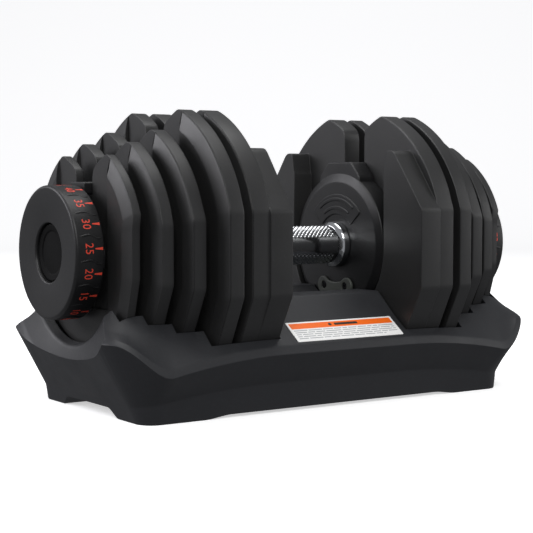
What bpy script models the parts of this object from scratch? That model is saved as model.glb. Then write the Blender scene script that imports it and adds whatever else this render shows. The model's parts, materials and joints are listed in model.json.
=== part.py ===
"""Adjustable dumbbell in its storage tray.

Frame: X runs along the handle, -Y is the front of the tray, +Z is up, and the origin is on the floor
under the middle of the tray. Every piece of the dumbbell itself is drawn about the handle's axis, at
height AXIS_Z, and hangs from an empty that stands on that axis. Both ends are alike, so each end piece
is made twice, with side -1 (left) and +1 (right).

The dial and its selector discs turn together about the axle. A disc sits against the outer face of each
plate, in a recess as wide as the ears. Its flange runs under the plate's lug at the settings that carry
the plate, and is cut away at the others. The drawing shows the dial at its eighth setting, which carries
the thick plate and plate 2.
"""

import math

import bmesh
import bpy
from mathutils import Vector

MM = 0.001

# Overall layout
AXIS_Z = 126.4 * MM
GAP = 0.3 * MM
NOTCH_HALF = 13.7 * MM
EAR_CORNER_Y = 43.6 * MM
EAR_PEAK_Y = 37.0 * MM
EAR_FACETS = ((22.7 * MM, 6.4 * MM), (NOTCH_HALF, 13.0 * MM))  # place across, drop below the peak
FACE_STEP = 3.0 * MM
RECESS_HALF = EAR_CORNER_Y + 0.3 * MM

# Plates, from the outermost: radius, half width at the side flats, half height of the flats,
# back and face positions along the handle, width of the sloping border of the face
PLATES = {
    1: {"radius": 84.5 * MM, "half_width": 77.4 * MM, "flat": 18.0 * MM, "back": 176.0 * MM,
        "face": 185.8 * MM, "border": 11.3 * MM, "web": 4.0 * MM, "units": 1},
    2: {"radius": 93.5 * MM, "half_width": 90.9 * MM, "flat": 22.4 * MM, "back": 155.0 * MM,
        "face": 167.7 * MM, "border": 11.5 * MM, "web": 4.0 * MM, "units": 2},
    3: {"radius": 102.5 * MM, "half_width": 100.8 * MM, "flat": 26.0 * MM, "back": 132.8 * MM,
        "face": 146.7 * MM, "border": 12.1 * MM, "web": 4.0 * MM, "units": 3},
    4: {"radius": 117.8 * MM, "half_width": 113.4 * MM, "flat": 32.4 * MM, "back": 107.3 * MM,
        "face": 122.6 * MM, "border": 13.2 * MM, "web": 4.0 * MM, "units": 5},
    5: {"radius": 117.8 * MM, "half_width": 113.4 * MM, "flat": 32.4 * MM, "back": 83.4 * MM,
        "face": 102.6 * MM, "border": 13.2 * MM, "web": 2.4 * MM, "units": 5},
}
THICK_BLOCK_X = 64.0 * MM
THICK_BLOCK_RADIUS = 118.0 * MM
THICK_BLOCK_HALF_WIDTH = 115.0 * MM
WIDE_NOTCH_RADIUS = 65.6 * MM
THICK_BLOCK_SHOULDER = [(79.6 * MM, 78.3 * MM), (76.0 * MM, 81.0 * MM),
                        (WIDE_NOTCH_RADIUS + 3.0 * MM, 81.0 * MM), (WIDE_NOTCH_RADIUS, 64.0 * MM)]
POST_SLOT_HALF = 6.0 * MM
LOWER_FACETS_DEG = (-79.0, -58.0, -36.8)
CORE_INSET = 6.0 * MM
CORE_WALL = 2.0 * MM
CORE_FROM_NOTCH = 0.6 * MM

# Dial, selector discs and lock
SETTINGS = 17
REST_SETTING = 7
STEP = 2 * math.pi / SETTINGS
DIAL_RADIUS = 52.0 * MM
DIAL_BACK_X = 192.5 * MM
DIAL_FACE_X = 216.0 * MM
DIAL_RECESS_RADIUS = 23.0 * MM
DIAL_RECESS_X = 202.0 * MM
DISC_RADIUS = 41.0 * MM
FLANGE_RADIUS = 37.0 * MM
FLANGE_OFFSET = 0.5 * MM
WEB_THICKNESS = 1.6 * MM
HUB_RADIUS = 13.0 * MM
BORE_RADIUS = 8.3 * MM
LUG_TOP = 30.0 * MM
LUG_BOTTOM = 35.6 * MM
LUG_HALF_WIDTH = 3.5 * MM
LOCK_WHEEL_RADIUS = 21.0 * MM
LOCK_WHEEL_X = (75.5 * MM, 79.5 * MM)

# Handle
AXLE_RADIUS = 8.0 * MM
AXLE_END_X = 206.0 * MM
GRIP_RADIUS = 16.7 * MM
GRIP_END_X = 54.1 * MM
COLLAR_RADIUS = 20.0 * MM
GUARD_RADIUS = 62.0 * MM
GUARD_X = (64.0 * MM, 82.6 * MM)
GUARD_POCKET_X = 70.5 * MM
HOOD_HALF = [(30.0 * MM, 48.0 * MM), (28.0 * MM, 60.0 * MM), (16.0 * MM, 72.0 * MM)]
BRIDGE_Z = (44.6 * MM, 54.6 * MM)
BRIDGE_HALF_WIDTH = 12.0 * MM
COVER_Z = -36.4 * MM
SCREW_Y = 14.75 * MM

# Tray
TRAY_TOP_Z = 89.0 * MM
POCKET_CLEARANCE = 0.6 * MM
POCKET_X = {
    5: (62.8 * MM, 105.0 * MM), 4: (104.8 * MM, 125.6 * MM), 3: (125.4 * MM, 149.4 * MM),
    2: (149.2 * MM, 170.2 * MM), 1: (170.0 * MM, 189.2 * MM),
}
SCOOP_PROFILE = [
    (187.5 * MM, 0.0), (187.5 * MM, 70.0 * MM), (196.5 * MM, 72.5 * MM), (203.5 * MM, 94.5 * MM),
    (224.0 * MM, 118.0 * MM), (224.0 * MM, 0.0),
]
TROUGH_PROFILE = [(-63.5 * MM, 0.0), (-63.5 * MM, 49.5 * MM), (63.5 * MM, 49.5 * MM), (63.5 * MM, 0.0)]
POST_HALF = 4.5 * MM
POST_TOP_Z = 65.3 * MM
# Opposite corners of the boxes cut from under the tray: the arches between the feet, then the hollows
TRAY_HOLLOWS = [
    ((-140 * MM, -120 * MM, -1 * MM), (140 * MM, 120 * MM, 4 * MM)),
    ((-230 * MM, -58 * MM, -1 * MM), (230 * MM, 58 * MM, 8 * MM)),
    ((-160 * MM, -54 * MM, 5 * MM), (-129 * MM, 54 * MM, 18 * MM)),
    ((129 * MM, -54 * MM, 5 * MM), (160 * MM, 54 * MM, 18 * MM)),
    ((-125 * MM, -82 * MM, 3 * MM), (125 * MM, -66 * MM, 26 * MM)),
    ((-125 * MM, 66 * MM, 3 * MM), (125 * MM, 82 * MM, 26 * MM)),
    ((-56 * MM, -60 * MM, 3 * MM), (56 * MM, 60 * MM, 66 * MM)),
]
TRAY_EDGE = (107.0 * MM, 48.0 * MM)
TRAY_SLOPE = (83.0 * MM, 69.0 * MM)
LABEL_X = 3.5 * MM
LABEL_UP_SLOPE = 0.6
LABEL_SIZE = (106.0 * MM, 23.0 * MM, 0.6 * MM)

PLASTIC = (0.036, 0.036, 0.041)
DARK_PLASTIC = (0.022, 0.022, 0.026)
GREY_PLASTIC = (0.062, 0.066, 0.062)


def clear_scene():
    for thing in list(bpy.data.objects):
        bpy.data.objects.remove(thing, do_unlink=True)


clear_scene()
PARTS = bpy.data.collections.new("adjustable_dumbbell")
CUTTERS = bpy.data.collections.new("cutters")
bpy.context.scene.collection.children.link(PARTS)
bpy.context.scene.collection.children.link(CUTTERS)


def material(name, colour, roughness, metallic=0.0):
    mat = bpy.data.materials.new(name)
    mat.use_nodes = True
    shader = mat.node_tree.nodes["Principled BSDF"]
    shader.inputs["Base Color"].default_value = (*colour, 1.0)
    shader.inputs["Roughness"].default_value = roughness
    shader.inputs["Metallic"].default_value = metallic
    return mat


def side_name(side):
    return "left" if side < 0 else "right"


def empty(name, z=0.0):
    thing = bpy.data.objects.new(name, None)
    thing.location = (0.0, 0.0, z)
    PARTS.objects.link(thing)
    return thing


def finish(thing, parent, look, angle=30.0):
    """Puts a solid in the object, under its body's empty, with its own material."""
    for home in list(thing.users_collection):
        home.objects.unlink(thing)
    PARTS.objects.link(thing)
    thing.parent = parent
    thing.data.materials.clear()
    thing.data.materials.append(material(thing.name, *look))
    thing.data.shade_smooth()
    thing.data.set_sharp_from_angle(angle=math.radians(angle))
    return thing


def as_cutter(thing, parent=None):
    """Makes a solid a guide for Booleans only."""
    for home in list(thing.users_collection):
        home.objects.unlink(thing)
    CUTTERS.objects.link(thing)
    thing.parent = parent
    thing.hide_render = True
    thing.display_type = "WIRE"
    return thing


def boolean(thing, other, operation):
    step = thing.modifiers.new(other.name, "BOOLEAN")
    step.operation = operation
    step.solver = "EXACT"
    step.object = other
    return step


def cut(thing, other):
    return boolean(thing, other, "DIFFERENCE")


def join(thing, other):
    return boolean(thing, other, "UNION")


def mesh_object(name, bm):
    bmesh.ops.remove_doubles(bm, verts=bm.verts, dist=1e-6)
    bmesh.ops.recalc_face_normals(bm, faces=bm.faces)
    mesh = bpy.data.meshes.new(name)
    bm.to_mesh(mesh)
    bm.free()
    thing = bpy.data.objects.new(name, mesh)
    PARTS.objects.link(thing)
    return thing


def loft(name, rings, triangles=False):
    """Joins rings of equal point counts, one after another, and closes both ends."""
    bm = bmesh.new()
    rows = [[bm.verts.new(point) for point in ring] for ring in rings]
    count = len(rows[0])
    for low, high in zip(rows, rows[1:]):
        for i in range(count):
            j = (i + 1) % count
            bm.faces.new((low[i], low[j], high[j], high[i]))
    bm.faces.new(rows[0])
    bm.faces.new(rows[-1])
    if triangles:
        bmesh.ops.triangulate(bm, faces=bm.faces)
    return mesh_object(name, bm)


def box(name, low, high):
    bm = bmesh.new()
    bmesh.ops.create_cube(bm, size=1.0)
    low, high = Vector(low), Vector(high)
    for vert in bm.verts:
        vert.co = Vector(
            (low[i] + high[i]) / 2 + vert.co[i] * (high[i] - low[i]) for i in range(3)
        )
    return mesh_object(name, bm)


def end_box(name, side, x_range, y_range, z_range):
    """A box at one end of the handle; x_range is counted outwards from the middle."""
    x0, x1 = sorted(side * x for x in x_range)
    return box(name, (x0, y_range[0], z_range[0]), (x1, y_range[1], z_range[1]))


def turned(name, profile, segments, centre=(0.0, 0.0), closed=True):
    """Turns a profile of (x, radius) points about a line along X through centre (y, z)."""
    mesh = bpy.data.meshes.new(name)
    count = len(profile)
    edges = [(i, (i + 1) % count) for i in range(count if closed else count - 1)]
    mesh.from_pydata([(x, 0.0, r) for x, r in profile], edges, [])
    shape = bpy.data.objects.new(name + "_profile", mesh)
    PARTS.objects.link(shape)
    screw = shape.modifiers.new("turn", "SCREW")
    screw.axis = "X"
    screw.steps = segments
    screw.render_steps = segments
    screw.use_merge_vertices = True
    screw.merge_threshold = 1e-5
    screw.use_normal_calculate = True
    solid = evaluated_copy(name, shape)
    solid.location = (0.0, centre[0], centre[1])
    return solid


def evaluated_copy(name, shape):
    """The evaluated shape as a plain mesh object, welded and facing out."""
    bpy.context.view_layer.update()
    graph = bpy.context.evaluated_depsgraph_get()
    mesh = bpy.data.meshes.new_from_object(shape.evaluated_get(graph))
    bm = bmesh.new()
    bm.from_mesh(mesh)
    bpy.data.meshes.remove(mesh)
    place = shape.matrix_world.copy()
    bpy.data.objects.remove(shape, do_unlink=True)
    solid = mesh_object(name, bm)
    solid.matrix_world = place
    return solid


def outline_solid(name, outlines, x_range):
    """Closed outlines of (y, z) points, holes included, made solid between two places along X."""
    low, high = sorted(x_range)
    curve = bpy.data.curves.new(name, "CURVE")
    curve.dimensions = "2D"
    curve.fill_mode = "BOTH"
    curve.extrude = (high - low) / 2
    for outline in outlines:
        spline = curve.splines.new("POLY")
        spline.points.add(len(outline) - 1)
        for point, (y, z) in zip(spline.points, outline):
            point.co = (y, z, 0.0, 1.0)
        spline.use_cyclic_u = True
    shape = bpy.data.objects.new(name + "_outline", curve)
    shape.rotation_euler = (math.pi / 2, 0.0, math.pi / 2)
    shape.location = ((low + high) / 2, 0.0, 0.0)
    PARTS.objects.link(shape)
    solid = evaluated_copy(name, shape)
    bpy.data.curves.remove(curve)
    return solid


def arc(radius, first_deg, last_deg, pieces):
    """Points of an arc about the axis; 0 degrees is along +Y and 90 is up."""
    angles = [first_deg + (last_deg - first_deg) * i / pieces for i in range(pieces + 1)]
    return [(radius * math.cos(math.radians(a)), radius * math.sin(math.radians(a))) for a in angles]


def both_halves(half):
    """Completes an outline whose +Y half runs from the bottom up and round to the notch."""
    return half + [(-y, z) for y, z in reversed(half)]


# ---------------------------------------------------------------- plates


def lower_facets(radius):
    """The corners of the facets under a plate, on its +Y half."""
    return [arc(radius, angle, angle, 1)[0] for angle in LOWER_FACETS_DEG]


def plate_half(radius, half_width, flat, grow=0.0):
    """The +Y half of a plate's outline, from its lowest facet to its ear's corner."""
    radius += grow
    points = lower_facets(radius)
    points += [(half_width + grow, -flat), (half_width + grow, flat)]
    start = math.degrees(math.atan2(flat, half_width))
    stop = math.degrees(math.acos(min(1.0, EAR_CORNER_Y / radius)))
    points += arc(radius, start, stop, 6)[1:-1]
    points.append((EAR_CORNER_Y, math.sqrt(radius**2 - EAR_CORNER_Y**2)))
    return points


def ear_points(radius):
    """The ear's top, from its corner over its peak and down two facets to the notch."""
    peak = math.sqrt(radius**2 - EAR_PEAK_Y**2)
    corner = math.sqrt(radius**2 - EAR_CORNER_Y**2)
    return [(EAR_CORNER_Y, corner), (EAR_PEAK_Y, peak)] + [(y, peak - drop) for y, drop in EAR_FACETS]


def notch_points(half_width):
    """Down the notch's wall and round its bottom to the middle."""
    return arc(half_width, 0.0, -77.0, 3)


def plate_rings(plate):
    """Back, rim and face outlines of a plate; the face is smaller except at the ears."""
    radius, half_width, flat = plate["radius"], plate["half_width"], plate["flat"]
    rest = ear_points(radius) + notch_points(NOTCH_HALF)
    rim = both_halves(plate_half(radius, half_width, flat) + rest)
    border = plate["border"]
    inner = plate_half(radius - border, half_width - border, flat * 0.93)
    face = both_halves(inner + rest)
    return rim, face


def plate_name(side, number, kind):
    size = "thick_plate" if number == 5 else f"plate_{number}"
    return f"{side_name(side)}_{size}_{kind}"


def plate_casing(side, number):
    plate = PLATES[number]
    rim, face = plate_rings(plate)
    rings = [
        [(side * plate["back"], y, z) for y, z in rim],
        [(side * (plate["face"] - FACE_STEP), y, z) for y, z in rim],
        [(side * plate["face"], y, z) for y, z in face],
    ]
    name = plate_name(side, number, "casing")
    casing = loft(name, rings)
    if number == 5:
        casing_block(casing, side)
    recess = end_box(
        name + "_recess",
        side,
        (plate["face"] - FACE_STEP, plate["face"] + 2 * MM),
        (-RECESS_HALF, RECESS_HALF),
        (-RECESS_HALF, plate["radius"]),
    )
    cut(casing, as_cutter(recess, BODY["axis"]))
    lug = end_box(
        name + "_lug",
        side,
        (plate["face"] - FACE_STEP - 1.0 * MM, plate["face"] + plate["web"] - 0.4 * MM),
        (-LUG_HALF_WIDTH, LUG_HALF_WIDTH),
        (-LUG_BOTTOM, -LUG_TOP),
    )
    join(casing, as_cutter(lug, BODY["axis"]))
    room = outline_solid(name + "_core_room", [core_outline(plate, 0.0)], core_span(side, plate, 0.0))
    cut(casing, as_cutter(room, BODY["axis"]))
    return casing


def casing_block(casing, side):
    """The thick plate's inner block, with a wide notch for the guard and a slot for the tray's post."""
    plate = PLATES[5]
    half = lower_facets(THICK_BLOCK_RADIUS)
    half += [(THICK_BLOCK_HALF_WIDTH, -plate["flat"]), (THICK_BLOCK_HALF_WIDTH, plate["flat"])]
    half += THICK_BLOCK_SHOULDER
    half += arc(WIDE_NOTCH_RADIUS, 0.0, -80.0, 8)
    x_range = (side * THICK_BLOCK_X, side * (plate["back"] + 2.0 * MM))
    block = outline_solid(casing.name + "_block", [both_halves(half)], x_range)
    join(casing, as_cutter(block, BODY["axis"]))
    slot = end_box(
        casing.name + "_slot",
        side,
        (THICK_BLOCK_X - 1 * MM, plate["back"]),
        (-POST_SLOT_HALF, POST_SLOT_HALF),
        (-THICK_BLOCK_RADIUS - 2 * MM, -WIDE_NOTCH_RADIUS + 5.6 * MM),
    )
    cut(casing, as_cutter(slot, BODY["axis"]))


def core_outline(plate, gap):
    """The steel core's outline; the room for it opens into the notch."""
    radius = plate["radius"] - CORE_INSET - gap
    width = plate["half_width"] - plate["border"] * 0.55 - gap
    flat = plate["flat"]
    top = plate["radius"] * 0.60 - gap
    shoulder = radius - plate["border"] * 0.5
    half = lower_facets(radius)
    half += [(width, -flat), (width, flat)]
    half += arc(shoulder, 28.0, math.degrees(math.asin(top / shoulder)), 2)
    if gap:
        half += [(NOTCH_HALF + CORE_FROM_NOTCH, top)]
        half += notch_points(NOTCH_HALF + CORE_FROM_NOTCH)
    return both_halves(half)


def core_span(side, plate, gap):
    low = plate["back"] + CORE_WALL + gap
    high = plate["face"] - FACE_STEP - CORE_WALL + 0.4 * MM - gap
    return (side * low, side * high)


def plate_core(side, number):
    plate = PLATES[number]
    outline = core_outline(plate, GAP)
    return outline_solid(plate_name(side, number, "core"), [outline], core_span(side, plate, GAP))


def add_plates():
    for side in (-1, 1):
        for number in PLATES:
            finish(plate_casing(side, number), BODY["axis"], (PLASTIC, 0.5))
            finish(plate_core(side, number), BODY["axis"], ((0.25, 0.25, 0.26), 0.55, 0.8))


# ---------------------------------------------------------------- dial and selector discs


def selected_plates(setting):
    """The plates that one end carries at a setting: the largest that still fit."""
    chosen, left = set(), setting
    for number in (5, 4, 3, 2, 1):
        if PLATES[number]["units"] <= left:
            chosen.add(number)
            left -= PLATES[number]["units"]
    return chosen


def cut_away_runs(number):
    """Runs of neighbouring settings, as (first, last), at which a disc has no flange."""
    runs = []
    for setting in range(SETTINGS):
        if number in selected_plates(setting):
            continue
        if runs and runs[-1][1] == setting - 1:
            runs[-1][1] = setting
        else:
            runs.append([setting, setting])
    return runs


def flange_angle(setting):
    """Where a setting's stretch of flange lies with the dial at rest, in degrees from +Y."""
    from_top_to_front = (REST_SETTING - setting) * STEP
    return 90.0 + math.degrees(from_top_to_front) + 180.0


def sector(inner, outer, first_deg, last_deg):
    pieces = max(2, int(abs(last_deg - first_deg) / 12))
    return arc(outer, first_deg, last_deg, pieces) + arc(inner, last_deg, first_deg, pieces)


def selector_disc(side, number):
    plate = PLATES[number]
    web_x = plate["face"] + plate["web"]
    flange_x = plate["face"] + FLANGE_OFFSET
    if number == 5:
        hub_x = LOCK_WHEEL_X[0]
    else:
        inner = PLATES[number + 1]
        hub_x = inner["face"] + inner["web"] + WEB_THICKNESS + GAP
    profile = [
        (hub_x, BORE_RADIUS),
        (hub_x, HUB_RADIUS),
        (web_x, HUB_RADIUS),
        (web_x, FLANGE_RADIUS),
        (flange_x, FLANGE_RADIUS),
        (flange_x, DISC_RADIUS),
        (web_x + WEB_THICKNESS, DISC_RADIUS),
        (web_x + WEB_THICKNESS, BORE_RADIUS),
    ]
    name = f"{side_name(side)}_selector_disc_{number}"
    disc = turned(name, [(side * x, r) for x, r in profile], 24)
    half_step = math.degrees(STEP) / 2 - 0.37
    for first, last in cut_away_runs(number):
        low = flange_angle(last) - half_step
        high = flange_angle(first) + half_step
        outline = sector(FLANGE_RADIUS - 2 * MM, DISC_RADIUS + 2 * MM, low, high)
        x_range = (side * (flange_x - 1 * MM), side * (web_x - 0.1 * MM))
        gap = outline_solid(f"{name}_gap_{first}", [outline], x_range)
        cut(disc, as_cutter(gap, BODY["axis"]))
    if number == 5:
        wheel_x = (side * LOCK_WHEEL_X[0], side * LOCK_WHEEL_X[1])
        wheel = outline_solid(name + "_lock_wheel", [lock_wheel_outline()], wheel_x)
        bore = turned(
            name + "_lock_wheel_bore",
            [(side * x, r) for x, r in ((70 * MM, 0.0), (70 * MM, BORE_RADIUS + 2 * MM),
                                        (85 * MM, BORE_RADIUS + 2 * MM), (85 * MM, 0.0))],
            32,
            closed=False,
        )
        cut(wheel, as_cutter(bore, BODY["axis"]))
        join(disc, as_cutter(wheel, BODY["axis"]))
    return disc


def lock_wheel_outline():
    """A wheel with one notch for each setting, the rest setting's at the top."""
    points = []
    for setting in range(SETTINGS):
        centre = math.pi / 2 + setting * STEP
        for offset, depth in ((-0.26, 1.0), (-0.17, 0.86), (0.17, 0.86), (0.26, 1.0)):
            angle, radius = centre + offset * STEP, LOCK_WHEEL_RADIUS * depth
            points.append((radius * math.cos(angle), radius * math.sin(angle)))
    return points


def dial(side):
    """A drum with a chamfered, slightly dished face and a deep recess in the middle."""
    profile = [
        (DIAL_BACK_X - 0.8 * MM, BORE_RADIUS),
        (DIAL_BACK_X - 0.8 * MM, HUB_RADIUS),
        (DIAL_BACK_X, HUB_RADIUS),
        (DIAL_BACK_X, DIAL_RADIUS - 1.2 * MM),
        (DIAL_BACK_X + 1.2 * MM, DIAL_RADIUS),
        (DIAL_FACE_X - 2.6 * MM, DIAL_RADIUS),
        (DIAL_FACE_X, DIAL_RADIUS - 3.2 * MM),
        (DIAL_FACE_X, DIAL_RADIUS - 8.0 * MM),
        (DIAL_FACE_X - 2.2 * MM, DIAL_RECESS_RADIUS),
        (DIAL_RECESS_X, DIAL_RECESS_RADIUS),
        (DIAL_RECESS_X, BORE_RADIUS),
    ]
    return turned(f"{side_name(side)}_dial", [(side * x, r) for x, r in profile], 40)


def dial_cap(side):
    """A shallow cup that closes the dial's recess over the end nut."""
    radius = DIAL_RECESS_RADIUS - GAP
    front = DIAL_FACE_X - 4.2 * MM
    profile = [
        (front - 2.6 * MM, 0.0),
        (front - 2.6 * MM, radius - 2.0 * MM),
        (DIAL_RECESS_X + GAP, radius - 2.0 * MM),
        (DIAL_RECESS_X + GAP, radius),
        (front - 0.8 * MM, radius),
        (front, radius - 1.4 * MM),
        (front - 0.6 * MM, 0.0),
    ]
    return turned(f"{side_name(side)}_dial_cap", [(side * x, r) for x, r in profile], 32, closed=False)


def end_nut(side):
    """A hexagon nut on the axle's end, inside the dial's recess."""
    across = 12.5 * MM
    hexagon = arc(across, 0.0, 300.0, 5)
    circle = arc(AXLE_RADIUS + GAP, 0.0, 345.0, 23)
    x_range = (side * (DIAL_RECESS_X + GAP), side * (DIAL_RECESS_X + 5.5 * MM))
    return outline_solid(f"{side_name(side)}_end_nut", [hexagon, circle], x_range)


def add_dials():
    for side in (-1, 1):
        body = BODY[side_name(side)]
        for number in PLATES:
            finish(selector_disc(side, number), body, ((0.5, 0.5, 0.48), 0.5))
        finish(dial(side), body, (DARK_PLASTIC, 0.4))
        finish(dial_cap(side), body, (DARK_PLASTIC, 0.35))
        finish(end_nut(side), BODY["axis"], ((0.5, 0.5, 0.52), 0.35, 1.0))


# ---------------------------------------------------------------- handle


def add_grip():
    tube = turned(
        "grip_tube",
        [(-GRIP_END_X, BORE_RADIUS), (-GRIP_END_X, GRIP_RADIUS),
         (GRIP_END_X, GRIP_RADIUS), (GRIP_END_X, BORE_RADIUS)],
        48,
    )
    finish(tube, BODY["axis"], ((0.75, 0.76, 0.78), 0.18, 1.0))
    rod = turned(
        "axle_rod",
        [(-AXLE_END_X, 0.0), (-AXLE_END_X, AXLE_RADIUS), (AXLE_END_X, AXLE_RADIUS), (AXLE_END_X, 0.0)],
        24,
        closed=False,
    )
    finish(rod, BODY["axis"], ((0.55, 0.55, 0.57), 0.3, 1.0))
    for side in (-1, 1):
        profile = [
            (GRIP_END_X + GAP, BORE_RADIUS),
            (GRIP_END_X + GAP, GRIP_RADIUS),
            (GRIP_END_X + 3.4 * MM, COLLAR_RADIUS),
            (GUARD_X[0] - GAP, COLLAR_RADIUS),
            (GUARD_X[0] - GAP, BORE_RADIUS),
        ]
        collar = turned(f"{side_name(side)}_grip_collar", [(side * x, r) for x, r in profile], 40)
        finish(collar, BODY["axis"], ((0.75, 0.76, 0.78), 0.15, 1.0))


def kidney_outline():
    """The lock cover: two round ends joined by a waist that bends round the grip."""
    ends = 7.6 * MM
    centre_y = 16.6 * MM
    right = [(centre_y + ends * math.cos(math.radians(a)), ends * math.sin(math.radians(a)))
             for a in range(-100, 101, 25)]
    top = [(6.0 * MM, 4.6 * MM), (-6.0 * MM, 4.6 * MM)]
    left = [(-y, z) for y, z in reversed(right)]
    bottom = [(-8.0 * MM, -11.0 * MM), (8.0 * MM, -11.0 * MM)]
    return [(y, z + COVER_Z) for y, z in right + top + left + bottom]


def guard(side):
    inner, outer = GUARD_X
    profile = [
        (inner, BORE_RADIUS),
        (inner, GUARD_RADIUS - 7.0 * MM),
        (inner + 2.6 * MM, GUARD_RADIUS),
        (outer, GUARD_RADIUS),
        (outer, BORE_RADIUS),
    ]
    name = f"{side_name(side)}_hand_guard"
    body = turned(name, [(side * x, r) for x, r in profile], 40)
    hood_x = (side * (inner + 2.6 * MM), side * outer)
    hood = outline_solid(name + "_hood", [both_halves(HOOD_HALF)], hood_x)
    join(body, as_cutter(hood, BODY["axis"]))
    pocket = [(-29 * MM, -36 * MM), (-5 * MM, -36 * MM), (-5 * MM, -64 * MM), (5 * MM, -64 * MM),
              (5 * MM, -36 * MM), (29 * MM, -36 * MM), (29 * MM, 41 * MM), (-29 * MM, 41 * MM)]
    room = outline_solid(name + "_pocket", [pocket], (side * GUARD_POCKET_X, side * (outer + 2 * MM)))
    cut(body, as_cutter(room, BODY["axis"]))
    window = end_box(name + "_window", side, (inner - 1 * MM, GUARD_POCKET_X + 1 * MM),
                     (-6 * MM, 6 * MM), (COVER_Z - 7 * MM, COVER_Z + 1 * MM))
    cut(body, as_cutter(window, BODY["axis"]))
    for front in (-1, 1):
        hole = screw_hole(f"{name}_screw_hole_{front}", side, front)
        cut(body, as_cutter(hole, BODY["axis"]))
    return body


def screw_hole(name, side, front):
    start, stop = GUARD_X[0] - 8 * MM, GUARD_POCKET_X + 1 * MM
    points = [(start, 0.0), (start, 1.9 * MM), (stop, 1.9 * MM), (stop, 0.0)]
    return turned(name, [(side * x, r) for x, r in points], 12, (front * SCREW_Y, COVER_Z), closed=False)


def lock_cover(side):
    x_range = (side * (GUARD_X[0] - 1.9 * MM), side * (GUARD_X[0] - GAP))
    name = f"{side_name(side)}_lock_cover"
    cover = outline_solid(name, [kidney_outline()], x_range)
    for front in (-1, 1):
        cut(cover, as_cutter(screw_hole(f"{name}_hole_{front}", side, front), BODY["axis"]))
    return cover


def cover_screw(side, front):
    place = "front" if front < 0 else "rear"
    top, under, tip = GUARD_X[0] - 3.5 * MM, GUARD_X[0] - 2.2 * MM, GUARD_X[0] + 5.0 * MM
    head, shank = 3.2 * MM, 1.6 * MM
    points = [(top, 0.0), (top, 2.2 * MM), (under, head), (under, shank), (tip, shank), (tip, 0.0)]
    name = f"{side_name(side)}_cover_screw_{place}"
    return turned(name, [(side * x, r) for x, r in points], 12, (front * SCREW_Y, COVER_Z), closed=False)


def lock_slider(side):
    """A plate round the lock wheel: its tooth drops towards the wheel when the tray's post lets go."""
    outer = [(-27 * MM, -30 * MM), (-3.6 * MM, -30 * MM), (-3.6 * MM, -60.7 * MM), (3.6 * MM, -60.7 * MM),
             (3.6 * MM, -30 * MM), (27 * MM, -30 * MM), (27 * MM, 33 * MM), (-27 * MM, 33 * MM)]
    window = [(-23 * MM, -24 * MM), (23 * MM, -24 * MM), (23 * MM, 29 * MM), (2.6 * MM, 29 * MM),
              (1.6 * MM, 25.5 * MM), (-1.6 * MM, 25.5 * MM), (-2.6 * MM, 29 * MM), (-23 * MM, 29 * MM)]
    x_range = (side * 76 * MM, side * 79 * MM)
    return outline_solid(f"{side_name(side)}_lock_slider", [outer, window], x_range)


def lock_spring(side):
    """A compression spring over the slider, four turns of wire."""
    turns, per_turn = 4, 8
    low, high, radius, wire = 33.9 * MM, 40.1 * MM, 3.4 * MM, 0.5 * MM
    curve = bpy.data.curves.new("spring", "CURVE")
    curve.dimensions = "3D"
    curve.bevel_depth = wire
    curve.bevel_resolution = 1
    curve.use_fill_caps = True
    spline = curve.splines.new("POLY")
    count = turns * per_turn + 1
    spline.points.add(count - 1)
    for i, point in enumerate(spline.points):
        angle = 2 * math.pi * i / per_turn
        height = low + (high - low) * i / (count - 1)
        point.co = (
            side * 77.5 * MM + radius * math.cos(angle), radius * math.sin(angle), height, 1.0
        )
    shape = bpy.data.objects.new(f"{side_name(side)}_spring_wire", curve)
    PARTS.objects.link(shape)
    solid = evaluated_copy(f"{side_name(side)}_lock_spring", shape)
    bpy.data.curves.remove(curve)
    return solid


def bridge(side):
    """The guide bar that runs from the guard's hood out through every plate's notch."""
    low, high = BRIDGE_Z
    half = BRIDGE_HALF_WIDTH
    outline = [(-half, low), (half, low), (half, high - 2 * MM), (half - 2 * MM, high),
               (-half + 2 * MM, high), (-half, high - 2 * MM)]
    x_range = (side * (GUARD_X[1] + GAP), side * 189.0 * MM)
    return outline_solid(f"{side_name(side)}_guide_bar", [outline], x_range)


def add_guards():
    for side in (-1, 1):
        finish(guard(side), BODY["axis"], (DARK_PLASTIC, 0.45))
        finish(bridge(side), BODY["axis"], (DARK_PLASTIC, 0.5))
        finish(lock_cover(side), BODY["axis"], (GREY_PLASTIC, 0.45))
        finish(lock_slider(side), BODY["axis"], ((0.4, 0.4, 0.42), 0.4, 1.0))
        finish(lock_spring(side), BODY["axis"], ((0.6, 0.6, 0.62), 0.3, 1.0))
        for front in (-1, 1):
            finish(cover_screw(side, front), BODY["axis"], ((0.1, 0.1, 0.1), 0.4, 1.0))


# ---------------------------------------------------------------- tray


def tray_plan(half_x, half_y, corner):
    """A rounded rectangle with points along its long sides, where the tray's edges bend."""
    outer, inner = 150 * MM * half_x / (220 * MM), 105 * MM * half_x / (220 * MM)
    stations = [outer, inner, 60 * MM, -60 * MM, -inner, -outer]
    cy = half_y - corner
    cx = half_x - corner
    ends = [40 * MM, -40 * MM]
    turn = [0.0, 30.0, 60.0, 90.0]

    def corner_points(sx, sy, order):
        bends = [arc(corner, a, a, 1)[0] for a in order]
        return [(sx * (cx + x), sy * (cy + y)) for x, y in bends]

    points = corner_points(1, 1, turn)
    points += [(x, half_y) for x in stations]
    points += corner_points(-1, 1, turn[::-1])
    points += [(-half_x, y * cy / (60 * MM) * 0.7) for y in ends]
    points += corner_points(-1, -1, turn)
    points += [(x, -half_y) for x in reversed(stations)]
    points += corner_points(1, -1, turn[::-1])
    points += [(half_x, y * cy / (60 * MM) * 0.7) for y in reversed(ends)]
    return points


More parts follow.
